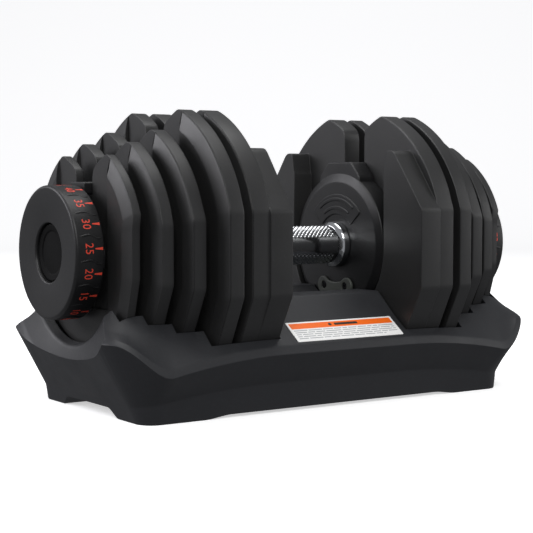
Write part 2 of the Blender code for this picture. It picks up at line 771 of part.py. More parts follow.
def arch(x, middle, drop, flat=60 * MM, reach=105 * MM):
    """A height that is level in the middle and falls towards the ends."""
    past = max(0.0, abs(x) - flat) / reach
    return middle - drop * past**2


def rise(x, start, stop):
    """0 before start, 1 after stop, smooth between."""
    t = min(1.0, max(0.0, (abs(x) - start) / (stop - start)))
    return t * t * (3 - 2 * t)


def tray_rings():
    """The tray's outside, from the floor up: foot, crease, flared edge, slope and top."""
    foot = [(x, y, 0.0) for x, y in tray_plan(173 * MM, 88 * MM, 14 * MM)]
    crease = [(x, y, arch(x, 24 * MM, 8 * MM)) for x, y in tray_plan(181 * MM, 93.5 * MM, 22 * MM)]
    edge = []
    for x, y in tray_plan(210 * MM, TRAY_EDGE[0], 44 * MM):
        low = arch(x, TRAY_EDGE[1], 11 * MM)
        lift = rise(x, 164 * MM, 205 * MM)
        edge.append((x, y, low * (1 - lift) + 62 * MM * lift))
    slope = []
    for x, y in tray_plan(204 * MM, TRAY_SLOPE[0], 34 * MM):
        slope.append((x, y, TRAY_SLOPE[1] + 3 * MM * rise(x, 150 * MM, 205 * MM)))
    top = [(x, y, TRAY_TOP_Z) for x, y in tray_plan(193 * MM, 60 * MM, 22 * MM)]
    return [foot, crease, edge, slope, top]


def tray_shell():
    """The rings' solid, less the plates' pockets, the dials' scoops, the trough and the underside."""
    tray = loft("tray_shell", tray_rings(), triangles=True)
    axis = BODY["axis"]
    for side in (-1, 1):
        name = f"tray_{side_name(side)}"
        for number, (low, high) in POCKET_X.items():
            plate = PLATES[number]
            width = THICK_BLOCK_HALF_WIDTH if number == 5 else plate["half_width"]
            half = plate_half(plate["radius"], width, plate["flat"], grow=POCKET_CLEARANCE)
            outline = both_halves(half[:4] + [(half[4][0], 40 * MM)])
            cutter = outline_solid(f"{name}_pocket_{number}", [outline], (side * low, side * high))
            cut(tray, as_cutter(cutter, axis))
        scoop = turned(f"{name}_scoop", [(side * x, r) for x, r in SCOOP_PROFILE], 36, closed=False)
        cut(tray, as_cutter(scoop, axis))
        post = end_box(f"{name}_post", side, LOCK_WHEEL_X, (-POST_HALF, POST_HALF), (5 * MM, POST_TOP_Z))
        join(tray, as_cutter(post))
    trough = turned("tray_trough", TROUGH_PROFILE, 36, closed=False)
    cut(tray, as_cutter(trough, axis))
    for i, (low, high) in enumerate(TRAY_HOLLOWS):
        cut(tray, as_cutter(box(f"tray_hollow_{i}", low, high)))
    return tray


def add_tray():
    finish(tray_shell(), BODY["tray"], (PLASTIC, 0.45))
    (edge_y, edge_z), (slope_y, slope_z) = TRAY_EDGE, TRAY_SLOPE
    tilt = math.atan2(slope_z - edge_z, edge_y - slope_y)
    lift = GAP + LABEL_SIZE[2] / 2
    y = -edge_y + LABEL_UP_SLOPE * (edge_y - slope_y) - lift * math.sin(tilt)
    z = edge_z + LABEL_UP_SLOPE * (slope_z - edge_z) + lift * math.cos(tilt)
    bm = bmesh.new()
    bmesh.ops.create_cube(bm, size=1.0)
    for vert in bm.verts:
        vert.co = Vector(vert.co[i] * LABEL_SIZE[i] for i in range(3))
    label = mesh_object("information_label", bm)
    label.rotation_euler = (tilt, 0.0, 0.0)
    label.location = (LABEL_X, y, z)
    finish(label, BODY["tray"], ((0.85, 0.85, 0.83), 0.5))


BODY = {
    "tray": empty("tray_origin"),
    "axis": empty("handle_axis", AXIS_Z),
    "left": empty("left_dial_axis", AXIS_Z),
    "right": empty("right_dial_axis", AXIS_Z),
}
add_tray()
add_plates()
add_dials()
add_grip()
add_guards()
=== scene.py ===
"""Adjustable dumbbell in its storage tray.

Each operator builds one kind of piece over the packed frame, in metres: X runs along the handle, -Y is the
front of the tray and +Z is up. Both ends are alike, so end pieces are drawn with X counted outwards from the
middle and then placed on side -1 (left) or +1 (right).
"""

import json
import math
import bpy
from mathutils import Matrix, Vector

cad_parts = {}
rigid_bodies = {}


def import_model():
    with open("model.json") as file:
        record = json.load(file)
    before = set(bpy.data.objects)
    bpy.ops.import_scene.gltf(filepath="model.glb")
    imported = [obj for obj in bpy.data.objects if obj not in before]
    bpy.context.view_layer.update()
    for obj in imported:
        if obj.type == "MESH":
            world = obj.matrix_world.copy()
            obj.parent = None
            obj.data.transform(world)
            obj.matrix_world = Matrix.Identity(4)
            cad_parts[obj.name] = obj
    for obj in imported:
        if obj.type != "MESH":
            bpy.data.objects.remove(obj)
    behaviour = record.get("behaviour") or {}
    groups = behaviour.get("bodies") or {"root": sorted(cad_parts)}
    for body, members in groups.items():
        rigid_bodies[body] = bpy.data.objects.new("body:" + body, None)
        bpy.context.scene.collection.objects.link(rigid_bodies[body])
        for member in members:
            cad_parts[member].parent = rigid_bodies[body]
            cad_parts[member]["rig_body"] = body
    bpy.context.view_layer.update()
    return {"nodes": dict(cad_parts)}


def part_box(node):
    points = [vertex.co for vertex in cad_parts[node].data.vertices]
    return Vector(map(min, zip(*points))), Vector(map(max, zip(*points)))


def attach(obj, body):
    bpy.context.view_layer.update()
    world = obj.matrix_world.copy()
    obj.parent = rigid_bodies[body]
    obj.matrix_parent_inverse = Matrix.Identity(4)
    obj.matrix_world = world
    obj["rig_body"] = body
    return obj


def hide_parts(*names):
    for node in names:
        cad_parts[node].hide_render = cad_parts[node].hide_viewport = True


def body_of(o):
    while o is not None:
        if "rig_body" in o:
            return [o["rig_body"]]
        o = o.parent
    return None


bl_info = {
    "name": "Adjustable Dumbbell",
    "version": (1, 0, 0),
    "blender": (4, 5, 0),
    "location": "3D View > Sidebar > Dumbbell",
    "description": "Builds an adjustable dumbbell in its storage tray, piece by piece",
    "category": "Add Mesh",
}

import bmesh
import bpy
import numpy as np
from mathutils import Vector

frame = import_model()

MM = 0.001
SIDES = {"left": -1, "right": 1}
AXIS_Z = (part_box("axle_rod")[0].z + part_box("axle_rod")[1].z) / 2

# Plates from the outermost to the thick one, in millimetres: radius, half width at the side flats, half
# height of the flats, back and face along the handle, width of the face's sloping border
PLATES = {
    1: (84.5, 77.4, 18.0, 176.0, 185.8, 11.3),
    2: (93.5, 90.9, 22.4, 155.0, 167.7, 11.5),
    3: (102.5, 100.8, 26.0, 132.8, 146.7, 12.1),
    4: (117.8, 113.4, 32.4, 107.3, 122.6, 13.2),
    5: (117.8, 113.4, 32.4, 83.4, 102.6, 13.2),
}
LOWER_FACETS = np.radians((-79.0, -58.0, -36.8))
NOTCH_HALF = 13.7 * MM
EAR_CORNER_Y = 43.6 * MM
EAR_PEAK_Y = 37.0 * MM
THICK_BLOCK_X = (64.0 * MM, 84.4 * MM)
WIDE_NOTCH_RADIUS = 65.6 * MM
POST_X = (75.5 * MM, 79.5 * MM)
POST_HALF = 4.5 * MM
POST_TOP_Z = 65.3 * MM
POST_SLOT_HALF = 6.0 * MM

DIAL_FACE_X = 216.0 * MM
DIAL_RADIUS = 52.0 * MM
AXLE_RADIUS = 8.3 * MM
GUARD_X = (64.0 * MM, 82.6 * MM)
GUARD_RADIUS = 62.0 * MM
COVER_Z = -36.4 * MM
SCREW_Y = 14.75 * MM
GRIP_END_X = 54.1 * MM
GRIP_RADIUS = 16.4 * MM

# The tray's deck at the front middle: plan half widths and heights of its edge, its lip and its slope's top
EDGE_Z = 48 * MM
LIP_Y = 103.8 * MM
SLOPE_Y = 83 * MM
SLOPE_Z = 69 * MM
DECK_TOP_Z = 89 * MM


# ---------------------------------------------------------------- settings


def linear(colour):
    """An sRGB hex colour as linear light with full alpha."""
    channels = [int(colour[i : i + 2], 16) / 255 for i in (1, 3, 5)]
    return tuple(c / 12.92 if c <= 0.04045 else ((c + 0.055) / 1.055) ** 2.4 for c in channels) + (1.0,)


def colour_setting(name, description, colour):
    """A colour for the panel, given as an sRGB hex colour and kept as linear light."""
    return bpy.props.FloatVectorProperty(
        name=name, description=description, default=linear(colour), size=4, min=0.0, max=1.0, subtype="COLOR"
    )


def length_setting(name, description, default, low, high):
    """A length for the panel, given in millimetres."""
    return bpy.props.FloatProperty(
        name=name, description=description, default=default * MM, min=low * MM, max=high * MM,
        subtype="DISTANCE", unit="LENGTH",
    )


class PlateSettings(bpy.types.PropertyGroup):
    """How the plates' casings are finished."""

    edge: length_setting("Edge", "Rounding of the casings' rims", 1.2, 0.2, 3.0)
    step: length_setting(
        "Face step", "How far the face stands above its sloping border's foot", 3.0, 1.0, 5.0
    )
    facet: length_setting("Facet rounding", "Rounding of the corners between the rim's flats", 2.6, 0.5, 6.0)
    colour: colour_setting("Colour", "The casings' nylon", "#242424")


class DialSettings(bpy.types.PropertyGroup):
    """The dials and the numbers on them."""

    lowest: bpy.props.IntProperty(
        name="Lowest", description="The lightest setting's number", default=10, min=1, max=40
    )
    between: bpy.props.IntProperty(
        name="Between", description="The difference between neighbouring numbers", default=5, min=1, max=10
    )
    settings: bpy.props.IntProperty(
        name="Settings", description="How many settings the dial has", default=17, min=6, max=24
    )
    at_rest: bpy.props.IntProperty(
        name="At rest", description="The setting at the top, counted from the lightest", default=7, min=0
    )
    digit_height: length_setting("Digit height", "Height of the digits, across the band", 6.6, 3.0, 10.0)
    colour: colour_setting("Colour", "The dials' and guards' nylon", "#101011")
    # Painted shade: the cup's near-black colour stands in for the shade inside the dial's recessed middle.
    cup_colour: colour_setting("Cup colour", "The rubber cup in each dial's middle", "#030303")
    ink: colour_setting("Ink", "The printed numbers and marks", "#e0452f")


class GripSettings(bpy.types.PropertyGroup):
    """The chrome grip's knurling."""

    pitch: length_setting("Pitch", "Distance between neighbouring diamonds", 2.0, 1.0, 4.0)
    depth: length_setting("Depth", "Height of a diamond above its grooves", 0.45, 0.1, 1.0)
    colour: colour_setting("Colour", "The plating's tint", "#e6e8ea")
    cover_colour: colour_setting("Cover colour", "The lock covers at the grip's ends", "#454843")


class TraySettings(bpy.types.PropertyGroup):
    """The tray's shell."""

    lip: length_setting("Lip", "Height of the band round the deck", 6.4, 1.0, 8.0)
    clearance: length_setting("Clearance", "Gap between a plate and its pocket", 0.6, 0.2, 2.0)
    colour: colour_setting("Colour", "The tray's plastic", "#202124")
    film_colour: colour_setting("Film", "The label's paper-white film", "#ececea")
    band_colour: colour_setting("Band", "The label's printed band", "#f26a12")


class StageSettings(bpy.types.PropertyGroup):
    """The camera and the studio."""

    azimuth: bpy.props.FloatProperty(
        name="Azimuth", description="Camera's turn about the upright; 0 looks along +Y",
        default=math.radians(-34.17), subtype="ANGLE", unit="ROTATION",
    )
    elevation: bpy.props.FloatProperty(
        name="Elevation", description="Camera's angle above the horizon", default=math.radians(3.38),
        subtype="ANGLE", unit="ROTATION",
    )
    distance: bpy.props.FloatProperty(
        name="Distance", description="Camera's distance from what it looks at", default=1.1923,
        subtype="DISTANCE", unit="LENGTH",
    )
    lens: bpy.props.FloatProperty(
        name="Lens", description="Focal length on a 36 mm sensor, in millimetres", default=94.42
    )


# ---------------------------------------------------------------- surfaces


def polar(radius, angles):
    """Points (radius cos a, radius sin a) for every angle a in radians."""
    return np.stack([radius * np.cos(angles), radius * np.sin(angles)], axis=-1)


def fillet(points, reach, steps=6, closed=False):
    """Rounds the corners of a line of points, or of a stack of rings at once.

    Corner c becomes (1-t)^2 a + 2t(1-t) c + t^2 b for t from 0 to 1. Points a and b lie on the corner's two
    sides, at its reach from it or at 0.45 of the side where that is shorter.
    """
    points = np.asarray(points, dtype=float)
    reach = (reach * np.ones(len(points))).reshape((-1,) + (1,) * (points.ndim - 1))
    start, stop = points.copy(), points.copy()
    for end, shift in ((start, 1), (stop, -1)):
        along = np.roll(points, shift, axis=0) - points
        length = np.maximum(np.linalg.norm(along, axis=-1, keepdims=True), 1e-9)
        end += along / length * np.minimum(reach, 0.45 * length)
    t = np.linspace(0.0, 1.0, steps).reshape((1, -1) + (1,) * (points.ndim - 1))
    curve = (1 - t) ** 2 * start[:, None] + 2 * t * (1 - t) * points[:, None] + t**2 * stop[:, None]
    if closed:
        return curve.reshape((-1,) + points.shape[1:])
    inside = curve[1:-1].reshape((-1,) + points.shape[1:])
    return np.concatenate([points[:1], inside, points[-1:]])


def inward(outline, closed=True):
    """Unit vectors that point into an anticlockwise outline, from the chord between a point's neighbours."""
    chord = np.roll(outline, -1, axis=0) - np.roll(outline, 1, axis=0)
    if not closed:
        chord[0] = outline[1] - outline[0]
        chord[-1] = outline[-1] - outline[-2]
    normal = np.stack([-chord[:, 1], chord[:, 0]], axis=-1)
    return normal / np.maximum(np.linalg.norm(normal, axis=1, keepdims=True), 1e-9)


def skin(grid, caps=True):
    """A tube over a grid of points p(row, column): columns wrap round, and a flat face closes each end row."""
    rows, columns = grid.shape[:2]
    index = np.arange(rows * columns).reshape(rows, columns)
    ends = [index[0, ::-1], index[-1]] if caps else []
    index = np.hstack([index, index[:, :1]])
    quads = np.stack([index[:-1, :-1], index[:-1, 1:], index[1:, 1:], index[1:, :-1]], axis=-1)
    return grid.reshape(-1, 3), quads.reshape(-1, 4), ends


def turned(profile, segments=192, centre=(0.0, 0.0), reach=0.0, closed=False):
    """A body turned about X along a rounded profile (x, r).

    p(s, a) = (x(s), cy + r(s) cos a, cz + r(s) sin a).
    """
    profile = fillet(profile, reach, closed=closed) if np.any(reach) else np.asarray(profile, dtype=float)
    if closed:
        profile = np.vstack([profile, profile[:1]])
    angles = np.linspace(0.0, 2 * math.pi, segments, endpoint=False)
    ring = polar(profile[:, 1:2], angles[None, :])
    grid = np.empty((len(profile), segments, 3))
    grid[..., 0] = profile[:, :1]
    grid[..., 1:] = ring + np.asarray(centre)
    return skin(grid, caps=False)


def prism(outline, start, stop, edge, support=0.3 * MM, far_edge=None):
    """A closed anticlockwise (y, z) outline o(v) carried along X with rounded ends.

    p(u, v) = (x(u), o(v) + i(u) n(v)), where n points inwards and (x, i) runs round each end's edge.
    """
    far_edge = edge if far_edge is None else far_edge
    path = [(start, edge + support), (start, 0.0), (stop, 0.0), (stop, far_edge + support)]
    profile = fillet(path, np.array([0.0, edge, far_edge, 0.0]), steps=5)
    grid = np.empty((len(profile), len(outline), 3))
    grid[..., 0] = profile[:, :1]
    grid[..., 1:] = outline[None] + inward(outline)[None] * profile[:, 1, None, None]
    return skin(grid)


def block(low, high):
    """A plain box between two corners, as a tube of four columns."""
    (x0, y0, z0), (x1, y1, z1) = low, high
    ring = np.array([(y0, z0), (y1, z0), (y1, z1), (y0, z1)])
    grid = np.empty((2, 4, 3))
    grid[..., 0] = np.array([[x0], [x1]])
    grid[..., 1:] = ring
    return skin(grid)


def both_halves(half):
    """Completes an outline from its +Y half, drawn from the bottom middle up and round to the top middle."""
    return np.vstack([half, (half * (-1.0, 1.0))[::-1]])


def at_end(shell, side, raised=True):
    """Puts a skin drawn about the handle's axis, with X outwards, on one side of the frame."""
    points, quads, ends = shell
    points = points * (side, 1.0, 1.0)
    if raised:
        points = points + (0.0, 0.0, AXIS_Z)
    return points, quads, ends


def mesh_from(name, shells):
    """One mesh of several skins, welded at seams and poles, with its faces outwards."""
    starts = np.cumsum([0] + [len(points) for points, quads, ends in shells])
    faces = []
    for start, (points, quads, ends) in zip(starts, shells):
        faces += (quads + start).tolist() + [(end + start).tolist() for end in ends]
    mesh = bpy.data.meshes.new(name)
    mesh.from_pydata(np.vstack([points for points, quads, ends in shells]), [], faces)
    return welded(mesh)


def end_mesh(name, side, shells):
    """One mesh of several skins drawn about the handle's axis, put on one side of the frame."""
    return mesh_from(name, [at_end(shell, side) for shell in shells])


def welded(mesh, triangles=False):
    """The same mesh with doubled points joined, slivers dissolved and faces outwards."""
    bm = bmesh.new()
    bm.from_mesh(mesh)
    bmesh.ops.remove_doubles(bm, verts=bm.verts, dist=2e-6)
    bmesh.ops.dissolve_degenerate(bm, dist=1e-6, edges=bm.edges)
    if triangles:
        bmesh.ops.triangulate(bm, faces=bm.faces)
    bmesh.ops.recalc_face_normals(bm, faces=bm.faces)
    bm.to_mesh(mesh)
    bm.free()
    mesh.update()
    return mesh


def carve(mesh, cuts):
    """The mesh less every skin in cuts, worked out exactly, one after another."""
    body = bpy.data.objects.new(mesh.name + "_uncut", welded(mesh, triangles=True))
    bpy.context.scene.collection.objects.link(body)
    tools = []
    for i, shell in enumerate(cuts):
        tool = bpy.data.objects.new(f"cut_{i}", welded(mesh_from(f"cut_{i}", [shell]), triangles=True))
        bpy.context.scene.collection.objects.link(tool)
        step = body.modifiers.new(tool.name, "BOOLEAN")
        step.operation, step.solver, step.object = "DIFFERENCE", "EXACT", tool
        tools.append(tool)
    bpy.context.view_layer.update()
    graph = bpy.context.evaluated_depsgraph_get()
    result = bpy.data.meshes.new_from_object(body.evaluated_get(graph))
    for thing in [body] + tools:
        used = thing.data
        bpy.data.objects.remove(thing, do_unlink=True)
        bpy.data.meshes.remove(used)
    return welded(result)


def piece(name, mesh, look, body, stands_for=(), angle=32.0):
    """Places a finished mesh as a piece that rides on a CAD body and stands for CAD nodes."""
    if not len(mesh.polygons):
        raise RuntimeError(f"{name} has no faces")
    mesh.name = name
    mesh.materials.clear()
    mesh.materials.append(look)
    mesh.shade_smooth()
    mesh.set_sharp_from_angle(angle=math.radians(angle))
    thing = bpy.data.objects.new(name, mesh)
    bpy.context.scene.collection.objects.link(thing)
    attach(thing, body)
    if stands_for:
        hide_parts(*stands_for)


# ---------------------------------------------------------------- materials


def add_node(tree, kind, inputs=(), **settings):
    """Adds a node, sets its settings, and gives each input a value or another node's output."""
    made = tree.nodes.new(kind)
    for name, value in settings.items():
        setattr(made, name, value)
    for name, value in dict(inputs).items():
        if isinstance(value, bpy.types.NodeSocket):
            tree.links.new(value, made.inputs[name])
        else:
            made.inputs[name].default_value = value
    return made


def new_look(name):
    """A fresh material with its tree and its Principled shader."""
    made = bpy.data.materials.new(name)
    made.use_nodes = True
    return made, made.node_tree, made.node_tree.nodes["Principled BSDF"]


def noise(tree, place, size, detail, roughness=0.5):
    """Soft noise whose largest features are about the given size across."""
    inputs = {"Vector": place, "Scale": 1 / size, "Detail": detail, "Roughness": roughness}
    return add_node(tree, "ShaderNodeTexNoise", inputs).outputs["Fac"]


def ranged(tree, value, low, high, start, stop):
    """A value carried from the range low to high onto the range start to stop."""
    inputs = {"Value": value, "From Min": low, "From Max": high, "To Min": start, "To Max": stop}
    return add_node(tree, "ShaderNodeMapRange", inputs).outputs["Result"]


def moulded_plastic(name, colour, roughness, grain=0.45 * MM, relief=0.035 * MM, worn="#5a5a5e",
                    sheen=0.45):
    """Moulded plastic: a fine spark-eroded grain breaks up its highlights, broad patches differ slightly in
    gloss as handled nylon does, and a soft edge rounds every corner that the light runs along."""
    made, tree, shader = new_look(name)
    place = add_node(tree, "ShaderNodeTexCoord").outputs["Object"]
    patches = noise(tree, place, 38 * MM, 5.0, 0.62)
    gloss = ranged(tree, patches, 0.3, 0.7, roughness - 0.05, roughness + 0.07)
    tree.links.new(gloss, shader.inputs["Roughness"])
    dust = ranged(tree, noise(tree, place, 2.2 * MM, 6.0, 0.7), 0.52, 0.85, 0.0, 0.10)
    tint = add_node(
        tree, "ShaderNodeMix", {"Factor": dust, "A": colour, "B": linear(worn)}, data_type="RGBA"
    )
    tree.links.new(tint.outputs["Result"], shader.inputs["Base Color"])
    grains = add_node(tree, "ShaderNodeTexVoronoi", {"Vector": place, "Scale": 1 / grain}, feature="SMOOTH_F1")
    soft_edge = add_node(tree, "ShaderNodeBevel", {"Radius": 0.7 * MM}, samples=4)
    bump = add_node(
        tree, "ShaderNodeBump",
        {"Strength": 0.5, "Distance": relief, "Height": grains.outputs["Distance"],
         "Normal": soft_edge.outputs["Normal"]},
    )
    tree.links.new(bump.outputs["Normal"], shader.inputs["Normal"])
    shader.inputs["Specular IOR Level"].default_value = sheen
    return made


def plated_metal(name, colour, roughness, drawn=0.0):
    """Plated or plain metal: clear reflections, with faint lines round the axis where it was turned."""
    made, tree, shader = new_look(name)
    shader.inputs["Base Color"].default_value = colour
    shader.inputs["Metallic"].default_value = 1.0
    place = add_node(tree, "ShaderNodeTexCoord").outputs["Object"]
    stretched = add_node(tree, "ShaderNodeMapping", {"Vector": place, "Scale": (1.0, 0.04, 0.04)})
    lines = noise(tree, stretched.outputs["Vector"], 0.5 * MM, 3.0)
    gloss = ranged(tree, lines, 0.3, 0.7, roughness, roughness + 0.08 + drawn)
    tree.links.new(gloss, shader.inputs["Roughness"])
    return made


def printed_ink(name, colour, roughness):
    """A flat coat of ink or film: one even colour with a low sheen."""
    made, tree, shader = new_look(name)
    shader.inputs["Base Color"].default_value = colour
    shader.inputs["Roughness"].default_value = roughness
    return made


def setting(group, name):
    """What the panel holds for one setting, as a tuple."""
    return tuple(getattr(getattr(bpy.context.scene, f"dumbbell_{group}"), name))


# Each finish: how it is made, its colour (a setting's place in the panel, or fixed), roughness and the rest
LOOKS = {
    # Satin nylon of the plates' casings: a soft broad highlight along each rim, grey where the grain scatters.
    "satin_charcoal_nylon": (moulded_plastic, ("plates", "colour"), 0.42),
    # The tray's coarser spark-eroded grain: duller and a little bluer than the plates.
    "grained_charcoal_tray": (moulded_plastic, ("tray", "colour"), 0.48, 0.6 * MM, 0.05 * MM),
    # Denser black nylon of the handled parts: deeper than the plates, so ribs show by their highlights.
    "satin_black_nylon": (moulded_plastic, ("dials", "colour"), 0.42, 0.4 * MM, 0.03 * MM),
    # The cup in the dial's middle: painted nearly black as painted shade for its recess, with hardly any
    # highlight.
    "black_rubber_cup": (moulded_plastic, ("dials", "cup_colour"), 0.7, 0.4 * MM, 0.03 * MM, "#121212", 0.12),
    # Glass-filled nylon of the selector discs: dry and even.
    "glass_filled_nylon": (moulded_plastic, "#232326", 0.55),
    # The lock covers: a warm matt grey that stands off the black guard.
    "matt_grey_cover": (moulded_plastic, ("grip", "cover_colour"), 0.48, 0.5 * MM, 0.04 * MM),
    # Chrome: mirror-bright on every diamond of the knurling.
    "chrome_plate": (plated_metal, ("grip", "colour"), 0.06),
    # Zinc on rod, nuts and locks: pale and slightly blurred.
    "zinc_plate": (plated_metal, "#b4b7bb", 0.30, 0.08),
    # Black oxide on the cover's screws: dark metal with a soft glint in the recess.
    "black_oxide_screw": (plated_metal, "#2a2a2c", 0.35),
    # Sawn steel of the cores: grey with a drawn, blurred shine.
    "cut_steel": (plated_metal, "#6f7072", 0.5, 0.1),
    # Pad-printed ink: a flat orange-red that stays bright against the black band.
    "red_pad_print": (printed_ink, ("dials", "ink"), 0.5),
    # The label's film: clean white with a slight sheen.
    "white_film": (printed_ink, ("tray", "film_colour"), 0.38),
    # The label's band: saturated orange under the same sheen.
    "orange_print": (printed_ink, ("tray", "band_colour"), 0.38),
    # Small print seen from afar: an even light grey.
    "grey_print": (printed_ink, "#a6a8aa", 0.45),
    # The sign on the band: a brown-black that reads as black on orange.
    "black_print": (printed_ink, "#28211e", 0.45),
}


def look(name):
    """The material of that name, made the first time it is asked for."""
    make, colour, *rest = LOOKS[name]
    colour = linear(colour) if isinstance(colour, str) else setting(*colour)
    return bpy.data.materials.get(name) or make(name, colour, *rest)


def repaint(slot, look_name, *nodes):
    """Gives CAD nodes that stay on show their finish."""
    for node in nodes:
        thing = frame["nodes"][node]
        for place in thing.material_slots:
            place.link = "OBJECT"
            place.material = look(look_name)


# ---------------------------------------------------------------- plates


def rim_half(radius, half_width, flat, rounding):
    """The +Y half of a plate's outline up to its ear: three lower facets, the side flat, then an arc."""
    start = math.atan2(flat, half_width)
    stop = math.acos(EAR_CORNER_Y / radius)
    upper = polar(radius, np.linspace(start + (stop - start) / 6, stop, 26))
    lower = polar(radius, LOWER_FACETS)
    corners = np.vstack([[(0.0, lower[0, 1])], lower, [(half_width, -flat), (half_width, flat)], upper[:1]])
    return np.vstack([fillet(corners, rounding)[:-1], upper])


def ear_and_notch(radius):
    """From the ear's corner over its peak, down its facets and the notch's wall, and round to the middle."""
    peak = math.sqrt(radius**2 - EAR_PEAK_Y**2)
    corner = math.sqrt(radius**2 - EAR_CORNER_Y**2)
    top = [(EAR_CORNER_Y, corner), (EAR_PEAK_Y, peak), (22.7 * MM, peak - 6.4 * MM),
           (NOTCH_HALF, peak - 13.0 * MM), (NOTCH_HALF, 0.0)]
    bottom = polar(NOTCH_HALF, np.linspace(0.0, -math.pi / 2, 18))
    return np.vstack([fillet(top, np.array([0.0, 4.0, 8.0, 8.0, 0.0]) * MM, steps=9)[:-1], bottom])


def plate_shells(number, settings):
    """A plate's casing: a slab over the full outline, and a pad on its face round the middle recess.

    The pad is p(u, v) = (x(u), o(v) + i(u) w(v)). Round the rim, w runs from the outline to the smaller
    outline of the face, so that i gives the sloping border. Along the recess, w is the inward normal.
    """
    radius, half_width, flat, back, face, border = (value * MM for value in PLATES[number])
    edge, step = settings.edge, settings.step
    rim = rim_half(radius, half_width, flat, settings.facet)
    inner = rim_half(radius - border, half_width - border, flat * 0.93, settings.facet)
    outline = both_halves(np.vstack([rim, ear_and_notch(radius)[1:]]))
    slab = prism(outline, back, face - step, edge, far_edge=0.3 * MM)
    corners = [(EAR_CORNER_Y, rim[-1, 1]), (EAR_CORNER_Y, -EAR_CORNER_Y), (0.0, -EAR_CORNER_Y)]
    recess = fillet(corners, 3 * MM)
    recess = np.vstack([recess[:1], np.linspace(recess[0], recess[1], 12)[1:-1], recess[1:]])
    slope_path = [(face - step - 1 * MM, 0.8 * MM), (face - step, 0.0), (face, border), (face, border + 1 * MM)]
    slope = fillet(slope_path, np.array([0.0, 0.3, 4.0, 0.0]) * MM)
    wall_path = [(face - step - 1 * MM, 0.0), (face - step, 0.0), (face, 0.0), (face, 1 * MM)]
    wall = fillet(wall_path, np.array([0.0, 0.3, 0.5, 0.0]) * MM)
    rim_part = rim[None] + (inner - rim)[None] * (slope[:, 1] / border)[:, None, None]
    top = rim[:, 1] > 0
    rim_part[:, top, 0] = np.maximum(rim_part[:, top, 0], EAR_CORNER_Y + wall[:, 1:])
    recess_part = recess[None] + inward(recess, closed=False)[None] * wall[:, 1, None, None]
    recess_part[:, :12, 1] = np.minimum(recess_part[:, :12, 1], rim_part[:, -1:, 1])
    half = np.concatenate([rim_part, recess_part], axis=1)
    places = np.where(np.arange(half.shape[1]) < len(rim), slope[:, :1], wall[:, :1])
    grid = np.empty((half.shape[0], 2 * half.shape[1], 3))
    grid[..., 0] = np.concatenate([places, places[:, ::-1]], axis=1)
    grid[..., 1:] = np.concatenate([half, (half * (-1.0, 1.0))[:, ::-1]], axis=1)
    return [slab, skin(grid)]


def thick_block_shells():
    """The thick plate's inner block: two horseshoe halves on either side of the slot for the tray's post."""
    radius, half_width, flat = 117.9 * MM, 114.8 * MM, 32.4 * MM
    outer = polar(radius, LOWER_FACETS)
    start = -math.acos(POST_SLOT_HALF / WIDE_NOTCH_RADIUS)
    inner = polar(WIDE_NOTCH_RADIUS, np.linspace(0.0, start, 40))
    corners = [(POST_SLOT_HALF, outer[0, 1]), *outer, (half_width, -flat), (half_width, flat),
               (79.6 * MM, 78.3 * MM), (76.0 * MM, 81.0 * MM), (68.6 * MM, 81.0 * MM),
               (WIDE_NOTCH_RADIUS, 64.0 * MM)]
    outline = np.vstack([fillet(np.array(corners), 2.6 * MM, closed=True), inner])
    mirrored = (outline * (-1.0, 1.0))[::-1]
    return [prism(half, *THICK_BLOCK_X, edge=0.7 * MM) for half in (outline, mirrored)]


class DUMBBELL_OT_plates(bpy.types.Operator):
    """Add the ten plate casings, and finish the steel cores inside them"""

    bl_idname = "dumbbell.plates"
    bl_label = "Plates"

    def execute(self, context):
        settings = context.scene.dumbbell_plates
        for side_name, side in SIDES.items():
            for number, plate in PLATES.items():
                size = "thick_plate" if number == 5 else f"plate_{number}"
                node = f"{side_name}_{size}_casing"
                face, web = plate[4] * MM, (2.4 if number == 5 else 4.0) * MM
                shells = plate_shells(number, settings)
                shells += thick_block_shells() if number == 5 else []
                lug_ring = np.array([(-3.5, -35.6), (3.5, -35.6), (3.5, -30.0), (-3.5, -30.0)]) * MM
                lug_ring = fillet(lug_ring, 0.6 * MM, steps=4, closed=True)
                shells.append(prism(lug_ring, face - 4 * MM, face + web - 0.4 * MM, 0.3 * MM, 0.1 * MM))
                mesh = end_mesh(node, side, shells)
                body = body_of(frame["nodes"][node])[0]
                piece(f"{side_name}_{size}", mesh, look("satin_charcoal_nylon"), body, [node])
                repaint("plate_core", "cut_steel", f"{side_name}_{size}_core")
        return {"FINISHED"}


# ---------------------------------------------------------------- dials


def on_band(along, round_top, height):
    """Wraps flat points on a dial's band: along X outwards, round from the top towards the rear, and up."""
    radius = DIAL_RADIUS + height
    return np.stack([along, radius * np.sin(round_top), radius * np.cos(round_top)], axis=-1)


def number_mesh(text, height):
    """Digits as a thin slab, drawn in the plane with their middle on the origin."""
    letters = bpy.data.curves.new("digits", "FONT")
    letters.body = text
    letters.size = height / 0.70
    letters.align_x = "CENTER"
    letters.extrude = 0.1 * MM
    letters.resolution_u = 6
    letters.space_character = 1.08
    holder = bpy.data.objects.new("digits", letters)
    bpy.context.scene.collection.objects.link(holder)
    bpy.context.view_layer.update()
    graph = bpy.context.evaluated_depsgraph_get()
    mesh = bpy.data.meshes.new_from_object(holder.evaluated_get(graph))
    bpy.data.objects.remove(holder, do_unlink=True)
    bpy.data.curves.remove(letters)
    return mesh


